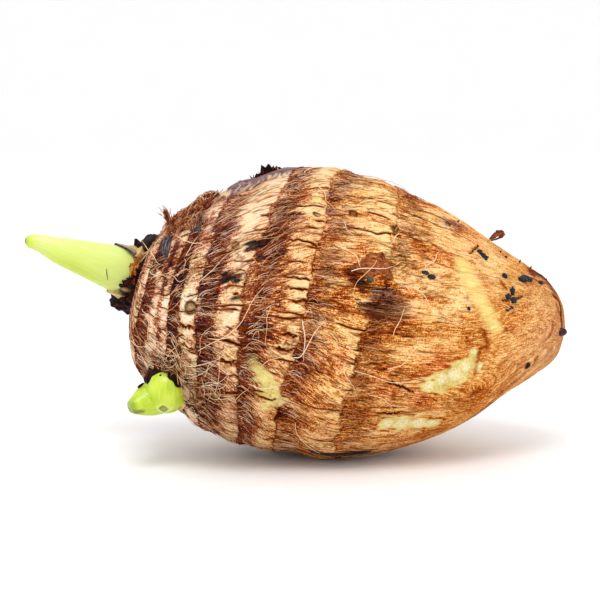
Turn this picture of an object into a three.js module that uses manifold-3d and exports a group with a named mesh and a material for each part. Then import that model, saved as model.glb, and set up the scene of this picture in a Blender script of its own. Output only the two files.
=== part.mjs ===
// A sprouting taro corm, lying on its side as it rests on a table.
// Millimetres, +Z up. +X runs from the growing tip to the scar where the corm grew on its parent, and -Y is
// the side with the side shoot. The origin is on the table, under the middle of the whole root.
//
// The corm is a loft of leaning rings, because its leaf scars lean and bow in the same way. A place on its skin is
// (ring, turn): ring counts along SECTIONS, and turn goes round, 0 at the back, a quarter on top, a half in front.
import * as THREE from "three";
import { mergeVertices } from "three/addons/utils/BufferGeometryUtils.js";
import Module from "manifold-3d";

const wasm = await Module();
wasm.setup();

// ---- driving dimensions ----

// Each ring by its top and its bottom, as x and z, then how far it reaches front and back, how far its front bows
// towards the tip, and how far its middle stands back. Whole rings from FIRST_SCAR to LAST_SCAR are leaf scars.
const SECTIONS = [
  { top: [-43.4, 49.6], bottom: [-43.4, 49.6], reach: 0, bow: 0, back: 8 },
  { top: [-40.2, 58.2], bottom: [-44.0, 40.0], reach: 9, bow: 1.2, back: 6 },
  { top: [-35.6, 62.9], bottom: [-43.8, 30.2], reach: 15.6, bow: 4.4, back: 3.5 },
  { top: [-31.2, 66.8], bottom: [-39.9, 21.2], reach: 22, bow: 6.2, back: 1.5 },
  { top: [-24.4, 71.2], bottom: [-31.2, 13.3], reach: 28.6, bow: 5.6, back: 0.5 },
  { top: [-16.0, 75.2], bottom: [-24.2, 8.0], reach: 33.0, bow: 5.8, back: 0 },
  { top: [0.4, 80.4], bottom: [-15.4, 4.0], reach: 37.2, bow: 5.4, back: 0 },
  { top: [12.9, 79.9], bottom: [-5.2, 1.9], reach: 38.2, bow: 3.5, back: 0 },
  { top: [29.3, 74.6], bottom: [10.6, -0.4], reach: 36.4, bow: 2.0, back: 0 },
  { top: [44.9, 66.8], bottom: [29.5, 2.5], reach: 30.8, bow: 1.2, back: 0 },
  { top: [57.1, 58.4], bottom: [46.4, 8.8], reach: 24.0, bow: 0.6, back: 0 },
  { top: [65.7, 52.4], bottom: [59.1, 17.5], reach: 16.8, bow: 0.2, back: 0 },
  { top: [70.3, 49.0], bottom: [67.6, 23.3], reach: 12.6, bow: 0, back: 0 },
  { top: [74.2, 43.8], bottom: [73.2, 28.2], reach: 7.6, bow: 0, back: 0 },
  { top: [75.7, 36.0], bottom: [75.7, 36.0], reach: 0, bow: 0, back: 0 },
];
const FIRST_SCAR = 2;
const LAST_SCAR = 8;
const SCAR_STEP = 0.55; // how far the torn edge of a leaf base stands out of the cork before it
const BAND_SINK = 0.45; // how far the fibrous band behind a scar sinks
const CORK_SWELL = 0.5; // how far the cork between two scars swells
const SCAR_WAVE = 0.06; // how far a scar wanders from its flat ring, in rings
const LUMP = 0.45; // uneven growth of the whole corm
const GAP = 0.3; // room between two pieces that touch
const FINEST = 0.02; // detail smaller than this is left out of a cut piece

// Rows of the skin: where they lie in a ring that starts with a leaf scar, in a plain one and in an end one.
const SCARRED_ROWS = [0, 0.12, 0.32, 0.52, 0.76, 0.96];
const PLAIN_ROWS = [0, 0.34, 0.67];
const END_ROWS = [0, 0.5];
const COLUMNS = 64;

// Hollows and swellings of the skin: the middle, how far each spreads along X, Y and Z, and its height.
const MARKS = [
  { name: "pocket of the side shoot", at: [-35, -20, 22], spread: [6, 7, 6], height: -1.5 },
  { name: "eye", at: [21.5, -34.5, 53], spread: [5.5, 6, 5], height: 1.4 },
  { name: "pit of the eye", at: [18, -35, 53.5], spread: [1.8, 4, 2.2], height: -1.8 },
  { name: "fold of the neck", at: [49.5, -24, 31], spread: [2.8, 9, 10], height: -1.6 },
  { name: "peeled spot on the flank", at: [-6, -36, 27], spread: [4, 8, 8], height: -0.7 },
  { name: "peeled spot on the neck", at: [41, -27, 27], spread: [7, 8, 5], height: -0.8 },
  { name: "peeled spot below", at: [28, -23, 12.5], spread: [8, 8, 4], height: -0.7 },
  { name: "eye at the back", at: [-4, 37, 47], spread: [5.5, 6, 5], height: 1.4 },
  { name: "pit of the eye at the back", at: [-7.5, 37, 47], spread: [1.8, 4, 2.2], height: -1.8 },
  { name: "flat at the back", at: [34, 33, 30], spread: [9, 8, 9], height: -0.9 },
];

// The main shoot by its path and how thick it is along it, both from the foot to the tip.
const MAIN_PATH = [
  [-41.5, 10.5, 47.8],
  [-47.0, 8.3, 50.2],
  [-51.8, 6.5, 52.2],
  [-60.3, 4.0, 55.3],
  [-65.9, 2.2, 57.3],
  [-70.9, 0.6, 59.5],
  [-74.0, -0.4, 60.3],
  [-75.2, -0.7, 60.5],
];
const MAIN_RADII = [6.5, 6.7, 6.35, 4.85, 3.75, 2.5, 1.75, 0.6];
const MAIN_DEPTH = 0.92; // how deep the main shoot is for its height

const SHEATH_WALL = 1.1; // what is left of the inner leaf base, round the foot of the main shoot
const HUSK_WALL = 2.6; // what is left of the outer one, torn and dark

const SIDE_PATH = [
  [-32.0, -12.0, 22.5],
  [-36.8, -17.6, 20.2],
  [-39.6, -20.8, 19.4],
  [-42.0, -23.2, 18.7],
  [-44.1, -25.1, 18.2],
];
const SIDE_RADII = [5.2, 5.1, 4.5, 3.2, 1.7];
const SIDE_SCALE = { at: [-34.7, -20.7, 22.2], radii: [5.9, 6.2, 6.5] };
const SIDE_COLLAR = { at: [-32.8, -20.6, 23.0], radii: [7.8, 5.2, 8.0] };

const BUD_SCALE = { at: [-40.0, 3.5, 59.3], radii: [3.0, 2.4, 2.3] };
const BUD_HOLLOW = { at: [-40.4, 1.6, 58.5], radii: [2.1, 2.2, 1.5] };
const ROOT_STUB = { at: [73.0, -7.4, 36.0], radii: [1.7, 1.3, 1.3] };

// A dry bract on its stalk, with its blade towards the base scar.
const BRACT_PATH = [
  [51.6, -6.0, 60.2],
  [53.3, -6.4, 61.2],
  [54.9, -6.8, 62.3],
  [57.2, -7.4, 63.4],
];
const BRACT_RADII = [0.5, 0.55, 1.1, 0.6];
const BRACT_DEPTH = 0.65; // its thickness as a share of its width

// The frayed strip that stands up from the scrap of leaf base above the growing tip.
const STRIP_PATH = [
  [-33.6, 0.0, 62.8],
  [-34.8, 0.8, 65.2],
  [-35.8, 1.6, 67.2],
  [-36.6, 2.0, 68.6],
];
const STRIP_RADII = [0.8, 0.75, 0.7, 0.55];

// Crumbs of soil that stick to the neck: the middle and the three half sizes, along, across and out.
const CRUMBS = [
  { at: [62.7, -9.7, 50.9], radii: [1.8, 1.1, 0.8] },
  { at: [58.7, -16.2, 47.9], radii: [1.0, 1.5, 0.8] },
  { at: [50.7, -14.0, 58.0], radii: [1.6, 0.6, 0.7] },
  { at: [35.6, -27.6, 53.2], radii: [1.3, 0.8, 0.7] },
];

// ---- solids ----

const bump = (x, middle, width) => Math.exp(-(((x - middle) / width) ** 2));
const vector = (x, y, z) => new THREE.Vector3(x, y, z);
const line = (points) => new THREE.CatmullRomCurve3(points, false, "catmullrom", 0.5);

// A closed geometry as a solid that faces outwards.
function solid(geometry) {
  const bare = geometry.clone();
  bare.deleteAttribute("normal");
  bare.deleteAttribute("uv");
  const merged = mergeVertices(bare, 1e-4);
  const vertProperties = merged.attributes.position.array;
  const triVerts = new Uint32Array(merged.index.array);
  const made = new wasm.Manifold(new wasm.Mesh({ numProp: 3, vertProperties, triVerts }));
  if (made.volume() > 0) return made;
  triVerts.reverse();
  return new wasm.Manifold(new wasm.Mesh({ numProp: 3, vertProperties, triVerts }));
}

function geometryOf(made) {
  const { vertProperties, triVerts } = made.getMesh();
  const geometry = new THREE.BufferGeometry();
  geometry.setAttribute("position", new THREE.BufferAttribute(vertProperties, 3));
  geometry.setIndex(new THREE.BufferAttribute(triVerts, 1));
  const flat = geometry.toNonIndexed();
  flat.computeVertexNormals();
  return flat;
}

// A closed round form: each point of a sphere goes to place(turn, row). The first and last rows are its two ends.
function roundForm(columns, rows, place) {
  const geometry = new THREE.SphereGeometry(1, columns, rows);
  const { uv, position } = geometry.attributes;
  for (let i = 0; i < position.count; i++) {
    const row = Math.round((1 - uv.getY(i)) * rows);
    const turn = row === 0 || row === rows ? 0 : uv.getX(i) % 1;
    position.setXYZ(i, ...place(turn, row).toArray());
  }
  return solid(geometry);
}

// A thin form: each point of a block goes to place(along, out, through), all from 0 to 1.
function thinForm(columns, rows, place) {
  const geometry = new THREE.BoxGeometry(1, 1, 1, columns, rows, 1);
  const { position } = geometry.attributes;
  for (let i = 0; i < position.count; i++) {
    const [along, out, through] = [position.getX(i) + 0.5, position.getY(i) + 0.5, position.getZ(i) + 0.5];
    position.setXYZ(i, ...place(along, out, through).toArray());
  }
  return solid(geometry);
}

// A round form along a path. radius(t, angle) is how thick it is there, and lip(angle) how far along the path its
// rim goes, from 0 to 1. Its end is closed at the place along the path named by end.
function stalk({ path, radius, lip, end = 1, depth = 1, columns, rows, grow = 0 }) {
  const way = line(path.map((p) => vector(...p)));
  return roundForm(columns, rows, (turn, row) => {
    const angle = turn * 2 * Math.PI;
    const share = lip ? (lip(angle) * row) / (rows - 1) : row / rows;
    const t = row === rows ? end : share;
    const place = way.getPoint(t);
    const ahead = way.getTangent(t);
    if (row === 0) return place.addScaledVector(ahead, -grow);
    if (row === rows) return place.addScaledVector(ahead, grow);
    const side = vector(0, 0, 1).cross(ahead).normalize();
    const rise = ahead.clone().cross(side);
    const thick = radius(t, angle) + grow;
    place.addScaledVector(side, Math.cos(angle) * thick * depth);
    return place.addScaledVector(rise, Math.sin(angle) * thick);
  });
}

// Thickness along a stalk by the list of it at the points of its path.
function taper(radii) {
  const widths = line(radii.map((r) => vector(r, 0, 0)));
  return (t) => widths.getPoint(t).x;
}

// A lump with three half sizes. rough(turn, t) scales it from place to place.
function lump({ at, radii }, { columns = 20, rows = 10, grow = 0, rough = () => 1 } = {}) {
  return roundForm(columns, rows, (turn, row) => {
    const tilt = (row / rows) * Math.PI;
    const angle = turn * 2 * Math.PI;
    const ball = vector(Math.sin(tilt) * Math.cos(angle), Math.sin(tilt) * Math.sin(angle), -Math.cos(tilt));
    ball.multiply(vector(...radii).addScalar(grow));
    return ball.multiplyScalar(rough(turn, row / rows)).add(vector(...at));
  });
}

// The largest of the bodies that a cut leaves, without the slivers.
function largest(made) {
  const body = made.decompose().reduce((most, next) => (next.volume() > most.volume() ? next : most));
  return body.simplify(FINEST);
}

// ---- corm ----

const middles = line(
  SECTIONS.map(({ top, bottom, back }) => vector((top[0] + bottom[0]) / 2, back, (top[1] + bottom[1]) / 2)),
);
const rises = line(
  SECTIONS.map(({ top, bottom }) => vector((top[0] - bottom[0]) / 2, 0, (top[1] - bottom[1]) / 2)),
);
const reaches = line(SECTIONS.map(({ bow, reach }) => vector(bow, reach, 0)));
const RINGS = SECTIONS.length - 1;

// How far a leaf scar wanders along the corm as it goes round.
function wave(ring, angle) {
  const ends = THREE.MathUtils.smoothstep(ring, 1, 3) * (1 - THREE.MathUtils.smoothstep(ring, 9, 11));
  return SCAR_WAVE * ends * (Math.sin(3 * angle + 1.3 * ring + 2.6) + 0.5 * Math.sin(7 * angle - 2.1 * ring));
}

// The torn edge, the fibrous band and the cork that repeat at each leaf scar. The last band fades out.
function scarRelief(ring) {
  if (ring < FIRST_SCAR || ring >= LAST_SCAR + 1) return 0;
  const past = ring - Math.floor(ring);
  const fade = ring < LAST_SCAR ? 1 : 1 - past;
  const edge = SCAR_STEP * Math.exp(-past / 0.12);
  return fade * (edge - BAND_SINK * bump(past, 0.32, 0.16) + CORK_SWELL * bump(past, 0.78, 0.2));
}

function lumpRelief(ring, angle) {
  const wide = 0.5 * Math.sin(3 * angle + 0.9 * ring) + 0.4 * Math.sin(5 * angle - 1.7 * ring + 1);
  return LUMP * (wide + 0.3 * Math.sin(11 * angle + 0.8 * ring));
}

function markRelief(point) {
  let height = 0;
  for (const { at, spread, height: most } of MARKS) {
    const away = point.clone().sub(vector(...at)).divide(vector(...spread));
    height += most * Math.exp(-away.lengthSq());
  }
  return height;
}

// The point of the skin at (ring, turn), lifted off it by a height.
function skin(ring, turn, lift = 0) {
  const angle = turn * 2 * Math.PI;
  const along = THREE.MathUtils.clamp(ring + wave(ring, angle), 0, RINGS) / RINGS;
  const middle = middles.getPoint(along);
  const out = rises.getPoint(along).multiplyScalar(Math.sin(angle));
  out.addScaledVector(reaches.getPoint(along), Math.cos(angle));
  const radius = out.length();
  if (radius < 1e-6) return middle;
  const calm = Math.min(1, radius / 12);
  const relief = calm * (scarRelief(ring) + lumpRelief(ring, angle)) + markRelief(middle.clone().add(out));
  return middle.addScaledVector(out, (radius + relief + lift) / radius);
}

function skinRows() {
  const rings = [];
  for (let ring = 0; ring < RINGS; ring++) {
    const scarred = ring >= FIRST_SCAR && ring <= LAST_SCAR;
    const atEnd = ring < FIRST_SCAR || ring >= RINGS - 3;
    for (const past of scarred ? SCARRED_ROWS : atEnd ? END_ROWS : PLAIN_ROWS) rings.push(ring + past);
  }
  return [...rings, RINGS];
}

function cormForm(grow = 0) {
  const rings = skinRows();
  const last = rings.length - 1;
  return roundForm(COLUMNS, last, (turn, row) => {
    const point = skin(rings[row], turn, grow);
    if (row === 0) point.x -= grow;
    if (row === last) point.x += grow;
    return point;
  });
}

// It rests on a small flat spot at the height of the table.
function flattened(body) {
  const ground = new THREE.BoxGeometry(400, 400, 200).translate(0, 0, -100);
  return body.subtract(solid(ground));
}

// ---- main shoot ----

// A rolled leaf: its outer edge runs up it as a low step.
function mainShoot(grow = 0) {
  const thick = taper(MAIN_RADII);
  const radius = (t, angle) => {
    const rolled = THREE.MathUtils.euclideanModulo(angle / (2 * Math.PI) - 0.64 - 0.1 * t, 1);
    return thick(t) + 0.35 * (1 - t) * (0.5 - rolled);
  };
  return stalk({ path: MAIN_PATH, radius, depth: MAIN_DEPTH, columns: 22, rows: 14, grow });
}

// The inner leaf base reaches furthest along the shoot above and below it, and is torn short between.
function mainSheath(grow = 0) {
  const thick = taper(MAIN_RADII);
  const radius = (t) => thick(t) + SHEATH_WALL;
  const lip = (angle) =>
    0.24 + 0.05 * bump(angle, 1.9, 0.7) + 0.07 * bump(angle, 4.5, 0.8) + 0.01 * Math.sin(9 * angle);
  return stalk({ path: MAIN_PATH, radius, lip, end: 0.22, depth: MAIN_DEPTH, columns: 30, rows: 4, grow });
}

// The outer leaf base is a dark ragged rim, with one rag that hangs down in front.
function mainHusk() {
  const thick = taper(MAIN_RADII);
  const radius = (t, angle) =>
    thick(t) + HUSK_WALL + 2.4 * bump(angle, 4.35, 0.45) + 2.4 * t * Math.sin(8 * angle);
  const lip = (angle) => 0.17 + 0.025 * Math.sin(5 * angle + 1) + 0.015 * Math.sin(13 * angle);
  return stalk({ path: MAIN_PATH, radius, lip, end: 0.13, depth: MAIN_DEPTH, columns: 36, rows: 4 });
}

// ---- side shoot ----

function sideShoot(grow = 0) {
  return stalk({ path: SIDE_PATH, radius: taper(SIDE_RADII), columns: 18, rows: 9, grow });
}

function sideScale(grow = 0) {
  return lump(SIDE_SCALE, { columns: 22, rows: 12, grow });
}

function sideCollar() {
  const rough = (turn, t) => 1 + 0.05 * Math.sin(14 * Math.PI * turn) + 0.04 * Math.sin(22 * Math.PI * turn + 9 * t);
  return lump(SIDE_COLLAR, { columns: 28, rows: 8, rough });
}

// ---- scales and scraps ----

// The ragged rest of a leaf base that stands up from the top of the corm: how tall it is along its length.
const CREST_EDGE = [0.2, 0.9, 1.4, 0.8, 1.7, 1.3, 3.1, 1.7, 2.7, 1.4, 1.0, 0.7, 0.2];
const CREST_THICKNESS = 0.9;

function crestScale() {
  const teeth = CREST_EDGE.length - 1;
  return thinForm(teeth, 2, (along, out, through) => {
    const height = CREST_EDGE[Math.round(along * teeth)];
    const ring = 5.08 + 0.78 * along;
    const foot = skin(ring, 0.262 - 0.03 * along, -1);
    const slant = vector(-0.25, -0.1, 1).normalize();
    foot.y += (through - 0.5) * CREST_THICKNESS * (1.4 - 0.4 * out);
    return foot.addScaledVector(slant, out * (height + 1.6));
  });
}

// A mat of torn fibres that lies over the first scars, with a frayed strip that stands up from it.
function leafScrap() {
  const mat = thinForm(10, 5, (along, out, through) => {
    const ragged = 0.012 * Math.sin(9 * along * Math.PI);
    const ring = 2.55 + 1.75 * along;
    const turn = 0.215 + ragged + (0.1 - 2 * ragged) * out;
    return skin(ring, turn, through * (1.1 + 0.2 * Math.sin(19 * along + 11 * out)));
  });
  const radius = (t, angle) => taper(STRIP_RADII)(t) + 0.12 * Math.sin(2 * angle + 14 * t);
  return mat.add(stalk({ path: STRIP_PATH, radius, columns: 8, rows: 10 }));
}

// A hollow hood, open towards the front and below.
function budScale() {
  const rough = (turn, t) => 1 + 0.05 * Math.sin(10 * Math.PI * turn + 5 * t);
  return lump(BUD_SCALE, { columns: 18, rows: 10, rough }).subtract(lump(BUD_HOLLOW, { columns: 14, rows: 8 }));
}

function bract() {
  return stalk({ path: BRACT_PATH, radius: taper(BRACT_RADII), depth: BRACT_DEPTH, columns: 10, rows: 10 });
}

function crumb({ at, radii }, number) {
  const rough = (turn, t) => 1 + 0.16 * Math.sin(6 * Math.PI * turn + 3 * number) * Math.sin(7 * t + number);
  return lump({ at, radii }, { columns: 10, rows: 6, rough });
}

// ---- the whole root ----

const LEAF = { color: 0x8a5a3c, roughness: 0.8 };
const DARK = { color: 0x3a2622, roughness: 0.6 };
const GREEN = { color: 0xd0e070, roughness: 0.4 };

const root = new THREE.Group();
function addPiece(name, made, { color, roughness }) {
  const material = new THREE.MeshStandardMaterial({ color, roughness, metalness: 0 });
  const mesh = new THREE.Mesh(geometryOf(largest(made)), material);
  mesh.name = name;
  root.add(mesh);
}

const aroundCorm = cormForm(GAP);
const aroundShoot = mainShoot(GAP).add(aroundCorm);
const aroundSheath = mainSheath(GAP).add(aroundShoot);
const aroundSideShoot = sideShoot(GAP).add(aroundCorm);
const aroundSideScale = sideScale(GAP).add(aroundSideShoot);

addPiece("corm", flattened(cormForm()), { color: 0xc18a5c, roughness: 0.85 });
addPiece("main_shoot", mainShoot().subtract(aroundCorm), GREEN);
addPiece("main_sheath", mainSheath().subtract(aroundShoot), { color: 0xc9b48a, roughness: 0.6 });
addPiece("main_husk", mainHusk().subtract(aroundSheath), DARK);
addPiece("side_shoot", sideShoot().subtract(aroundCorm), GREEN);
addPiece("side_scale", sideScale().subtract(aroundSideShoot), { color: 0xb8d03c, roughness: 0.4 });
addPiece("side_collar", sideCollar().subtract(aroundSideScale), DARK);
addPiece("crest_scale", crestScale().subtract(aroundCorm), { color: 0x5f3f3d, roughness: 0.8 });
addPiece("leaf_scrap", leafScrap().subtract(aroundCorm), LEAF);
addPiece("bud_scale", budScale().subtract(aroundSheath), { color: 0x1c1416, roughness: 0.25 });
addPiece("bract", bract().subtract(aroundCorm), LEAF);
addPiece("root_stub", lump(ROOT_STUB, { columns: 14, rows: 8 }).subtract(aroundCorm), DARK);
CRUMBS.forEach((shape, i) => addPiece(`soil_crumb_${i + 1}`, crumb(shape, i).subtract(aroundCorm), DARK));

export default root;
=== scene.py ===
"""The looks of a sprouting taro corm that lies on a pale table.

Lengths are millimetres here, and a finished mesh is written in metres, +Z up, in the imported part's frame.
A place on the skin is (ring, turn). Ring counts along SECTIONS. Turn goes round: 0 at the back, a quarter on
top and a half in front. A whole ring from FIRST_SCAR to LAST_SCAR is the torn edge of a leaf base.
"""
import math

import bmesh
import bpy
import numpy as np
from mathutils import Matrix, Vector


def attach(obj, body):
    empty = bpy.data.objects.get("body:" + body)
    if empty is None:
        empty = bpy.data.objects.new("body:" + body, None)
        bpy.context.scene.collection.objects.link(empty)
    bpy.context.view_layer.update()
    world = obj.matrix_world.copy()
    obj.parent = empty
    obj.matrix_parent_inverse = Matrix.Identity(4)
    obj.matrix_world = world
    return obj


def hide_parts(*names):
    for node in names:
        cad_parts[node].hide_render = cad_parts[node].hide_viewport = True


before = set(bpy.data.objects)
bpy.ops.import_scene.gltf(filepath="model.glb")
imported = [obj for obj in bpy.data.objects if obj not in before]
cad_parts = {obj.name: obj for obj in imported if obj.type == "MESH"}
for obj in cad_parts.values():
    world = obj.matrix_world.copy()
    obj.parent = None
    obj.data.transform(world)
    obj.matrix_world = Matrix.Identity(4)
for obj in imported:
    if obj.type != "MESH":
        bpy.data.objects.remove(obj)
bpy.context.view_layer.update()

MM = 0.001

# ---- the corm's driving dimensions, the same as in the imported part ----

# Each ring: top x and z, bottom x and z, reach to front and back, bow of its front, and how far its middle
# stands back.
SECTIONS = np.array([
    (-43.4, 49.6, -43.4, 49.6, 0, 0, 8),
    (-40.2, 58.2, -44.0, 40.0, 9, 1.2, 6),
    (-35.6, 62.9, -43.8, 30.2, 15.6, 4.4, 3.5),
    (-31.2, 66.8, -39.9, 21.2, 22, 6.2, 1.5),
    (-24.4, 71.2, -31.2, 13.3, 28.6, 5.6, 0.5),
    (-16.0, 75.2, -24.2, 8.0, 33.0, 5.8, 0),
    (0.4, 80.4, -15.4, 4.0, 37.2, 5.4, 0),
    (12.9, 79.9, -5.2, 1.9, 38.2, 3.5, 0),
    (29.3, 74.6, 10.6, -0.4, 36.4, 2.0, 0),
    (44.9, 66.8, 29.5, 2.5, 30.8, 1.2, 0),
    (57.1, 58.4, 46.4, 8.8, 24.0, 0.6, 0),
    (65.7, 52.4, 59.1, 17.5, 16.8, 0.2, 0),
    (70.3, 49.0, 67.6, 23.3, 12.6, 0, 0),
    (74.2, 43.8, 73.2, 28.2, 7.6, 0, 0),
    (75.7, 36.0, 75.7, 36.0, 0, 0, 0),
])
RINGS = len(SECTIONS) - 1
FIRST_SCAR = 2
LAST_SCAR = 8
SCAR_STEP = 0.55
SCAR_FADE = 0.07  # how soon that step levels out, in rings
BAND_SINK = 0.45
BAND_AT = (0.32, 0.16)  # the fibrous band: its middle past the torn edge and its half width, in rings
CORK_SWELL = 0.5
CORK_AT = (0.78, 0.2)  # the same for the cork
# Waves round the corm: height, how many go round, how far they drift with a ring, and where they start.
SCAR_WAVE = 0.06
SCAR_WAVES = [(1, 3, 1.3, 2.6), (0.5, 7, -2.1, 0)]
LUMP = 0.45
LUMP_WAVES = [(0.5, 3, 0.9, 0), (0.4, 5, -1.7, 1), (0.3, 11, 0.8, 0)]
GIRTH = 245.0  # round the thickest ring
CALM_RADIUS = 12  # below this radius the rings and lumps fade
FINE_CALM_RADIUS = 8  # below this one the fine relief fades
ON_TABLE = 0.02  # how high loose things stay above the table

# Rings that sit askew: ring and its spread, turn and its spread, and how far they stray, in rings.
ASKEW = [(6, 0.6, 0.68, 0.08, 0.2), (6, 0.6, 0.47, 0.05, -0.2), (5, 0.5, 0.52, 0.06, 0.08)]

# Hollows and swellings: the middle, the spread along X, Y and Z, and the height.
MARKS = [
    ((-35, -20, 22), (6, 7, 6), -1.5),  # pocket of the side shoot
    ((21.5, -34.5, 53), (5.5, 6, 5), 1.4),  # eye
    ((18, -35, 53.5), (1.8, 4, 2.2), -1.8),  # its pit
    ((49.5, -24, 31), (2.8, 9, 10), -1.6),  # fold of the neck
    ((-6, -36, 27), (4, 8, 8), -0.7),  # peeled spot on the flank
    ((41, -27, 27), (7, 8, 5), -0.8),  # peeled spot on the neck
    ((28, -23, 12.5), (8, 8, 4), -0.7),  # peeled spot below
    ((-4, 37, 47), (5.5, 6, 5), 1.4),  # eye at the back
    ((-7.5, 37, 47), (1.8, 4, 2.2), -1.8),  # its pit
    ((34, 33, 30), (9, 8, 9), -0.9),  # flat at the back
]

# ---- numbers and noise ----


def smooth(value, low, high):
    """0 below low, 1 above high, with a soft rise between."""
    share = np.clip((value - low) / (high - low), 0, 1)
    return share * share * (3 - 2 * share)


def bump(value, middle, width):
    return np.exp(-(((value - middle) / width) ** 2))


def spline(points, share):
    """A smooth line through points, at share of its length from 0 to 1."""
    last = len(points) - 1
    place = np.clip(np.asarray(share, float), 0, 1) * last
    start = np.minimum(place.astype(int), last - 1)
    t = (place - start)[..., None]
    padded = np.vstack([2 * points[0] - points[1], points, 2 * points[-1] - points[-2]])
    before, a, b, after = (padded[start + k] for k in range(4))
    leave, arrive = (b - before) / 2, (after - a) / 2
    return a + leave * t + (3 * (b - a) - 2 * leave - arrive) * t**2 + (2 * (a - b) + leave + arrive) * t**3


NOISE_ROWS = 64


def noise(turn, along, cells, seed):
    """Smooth noise from -1 to 1 that closes on itself round the corm, with so many cells in a turn."""
    table = np.random.default_rng(seed).uniform(-1, 1, (cells, NOISE_ROWS))
    x, y = np.broadcast_arrays(turn * cells, along)
    column, row = np.floor(x).astype(int), np.floor(y).astype(int)
    u, v = smooth(x - column, 0, 1), smooth(y - row, 0, 1)
    left, right, low, high = column % cells, (column + 1) % cells, row % NOISE_ROWS, (row + 1) % NOISE_ROWS
    near = table[left, low] * (1 - u) + table[right, low] * u
    far = table[left, high] * (1 - u) + table[right, high] * u
    return near * (1 - v) + far * v


def layers(turn, along, *parts):
    """Layers of noise, each with its height, its pace along, its cells in a turn and its seed."""
    return sum(height * noise(turn, along * pace, cells, seed) for height, pace, cells, seed in parts)


def flat_noise(along, across, cells, seed):
    """Noise over a sheet, whose ends don't meet."""
    return noise(along * 0.5, across, cells, seed)


def waves(turn, ring, parts):
    angle = turn * 2 * np.pi
    return sum(height * np.sin(count * angle + drift * ring + start) for height, count, drift, start in parts)


# ---- the skin ----

TOPS, BOTTOMS = SECTIONS[:, 0:2], SECTIONS[:, 2:4]
REACH, BOW, BACK = SECTIONS[:, 4], SECTIONS[:, 5], SECTIONS[:, 6]
ZERO = np.zeros(len(SECTIONS))
MIDDLES = np.stack([(TOPS + BOTTOMS)[:, 0] / 2, BACK, (TOPS + BOTTOMS)[:, 1] / 2], 1)
RISES = np.stack([(TOPS - BOTTOMS)[:, 0] / 2, ZERO, (TOPS - BOTTOMS)[:, 1] / 2], 1)
REACHES = np.stack([BOW, REACH, ZERO], 1)


def in_leaf_rings(ring):
    return smooth(ring, 1, 3) * (1 - smooth(ring, 9, 11))


def waved(ring, turn):
    """How far the leaf rings wander along the corm, in rings."""
    return in_leaf_rings(ring) * SCAR_WAVE * waves(turn, ring, SCAR_WAVES)


def torn(ring, turn):
    """The same with what sets single rings askew and frays their torn edges."""
    askew = sum(
        far * bump(ring, middle, spread) * bump(turn, at, width)
        for middle, spread, at, width, far in ASKEW
    )
    ragged = layers(turn, ring, (0.03, 1, 44, 3), (0.035, 1, 90, 1), (0.03, 1, 260, 2))
    return waved(ring, turn) + in_leaf_rings(ring) * (askew + ragged)


def scar_relief(ring):
    past = ring - np.floor(ring)
    fade = np.where(ring < LAST_SCAR, 1, 1 - past)
    edge = SCAR_STEP * np.exp(-past / SCAR_FADE)
    relief = fade * (edge - BAND_SINK * bump(past, *BAND_AT) + CORK_SWELL * bump(past, *CORK_AT))
    return np.where((ring < FIRST_SCAR) | (ring >= LAST_SCAR + 1), 0, relief)


def lump_relief(ring, turn):
    return LUMP * waves(turn, ring, LUMP_WAVES)


def mark_relief(point):
    return sum(
        height * np.exp(-(((point - np.array(at)) / np.array(spread)) ** 2).sum(-1))
        for at, spread, height in MARKS
    )


def plain_skin(ring, turn, lift=0, wander=torn):
    """The skin without its fine relief."""
    angle = turn * 2 * np.pi
    along = np.clip(ring + wander(ring, turn), 0, RINGS) / RINGS
    middle = spline(MIDDLES, along)
    out = spline(RISES, along) * np.sin(angle)[..., None] + spline(REACHES, along) * np.cos(angle)[..., None]
    radius = np.maximum(np.linalg.norm(out, axis=-1), 1e-6)
    calm = np.minimum(1, radius / CALM_RADIUS)
    relief = calm * (scar_relief(ring) + lump_relief(ring, turn)) + mark_relief(middle + out)
    return middle + out * (1 + (relief + lift) / radius)[..., None]


def bed(ring, turn, lift=0):
    """The skin with even rings, where marks and loose things have their places."""
    return plain_skin(np.asarray(ring, float), np.asarray(turn, float), lift, waved)


def zone_of(ring):
    """The leaf ring that a place belongs to, and how far past its torn edge it is."""
    zone = np.clip(np.floor(ring), 0, LAST_SCAR)
    return zone, ring - zone


# How the fibres lean aside as they run along the corm: pairs of turn and turns per ring.
LEANS = np.array([
    (0.0, 0.01), (0.15, -0.015), (0.3, -0.02), (0.42, -0.018), (0.5, 0.006), (0.58, 0.03), (0.7, 0.03),
    (0.85, -0.01), (1.0, 0.01),
])


def lean(zone, turn):
    return np.interp(turn % 1, LEANS[:, 0], LEANS[:, 1]) + layers(turn, zone, (0.014, 2.3, 9, 41))


def combed(ring, turn):
    """The turn at which the fibre through this place leaves its torn edge."""
    zone, past = zone_of(ring)
    return turn - lean(zone, turn) * np.minimum(past, 2.5) * smooth(ring, 1.5, 2.2)


STRIPS = 52  # strips of cork round the corm, with cracks between them
STRIP_SEED = 21


def strips(ring, turn, count, seed):
    """The lengthwise strip of skin here, the number of its nearest side, and how far off that side is."""
    shift = np.random.default_rng(seed).uniform(-0.3, 0.3, count)
    wander = layers(turn, ring, (0.4, 0.9, count // 3, seed + 1), (0.12, 5, count, seed + 2))
    place = turn * count + wander
    low = np.floor(place).astype(int)
    first, second = low + shift[low % count], low + 1 + shift[(low + 1) % count]
    strip = low + (place >= second) - (place < first)
    nearer = np.abs(place - first) < np.abs(place - second)
    away = np.where(nearer, np.abs(place - first), np.abs(place - second)) * GIRTH / count
    return strip % count, np.where(nearer, low, low + 1) % count, away


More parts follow.
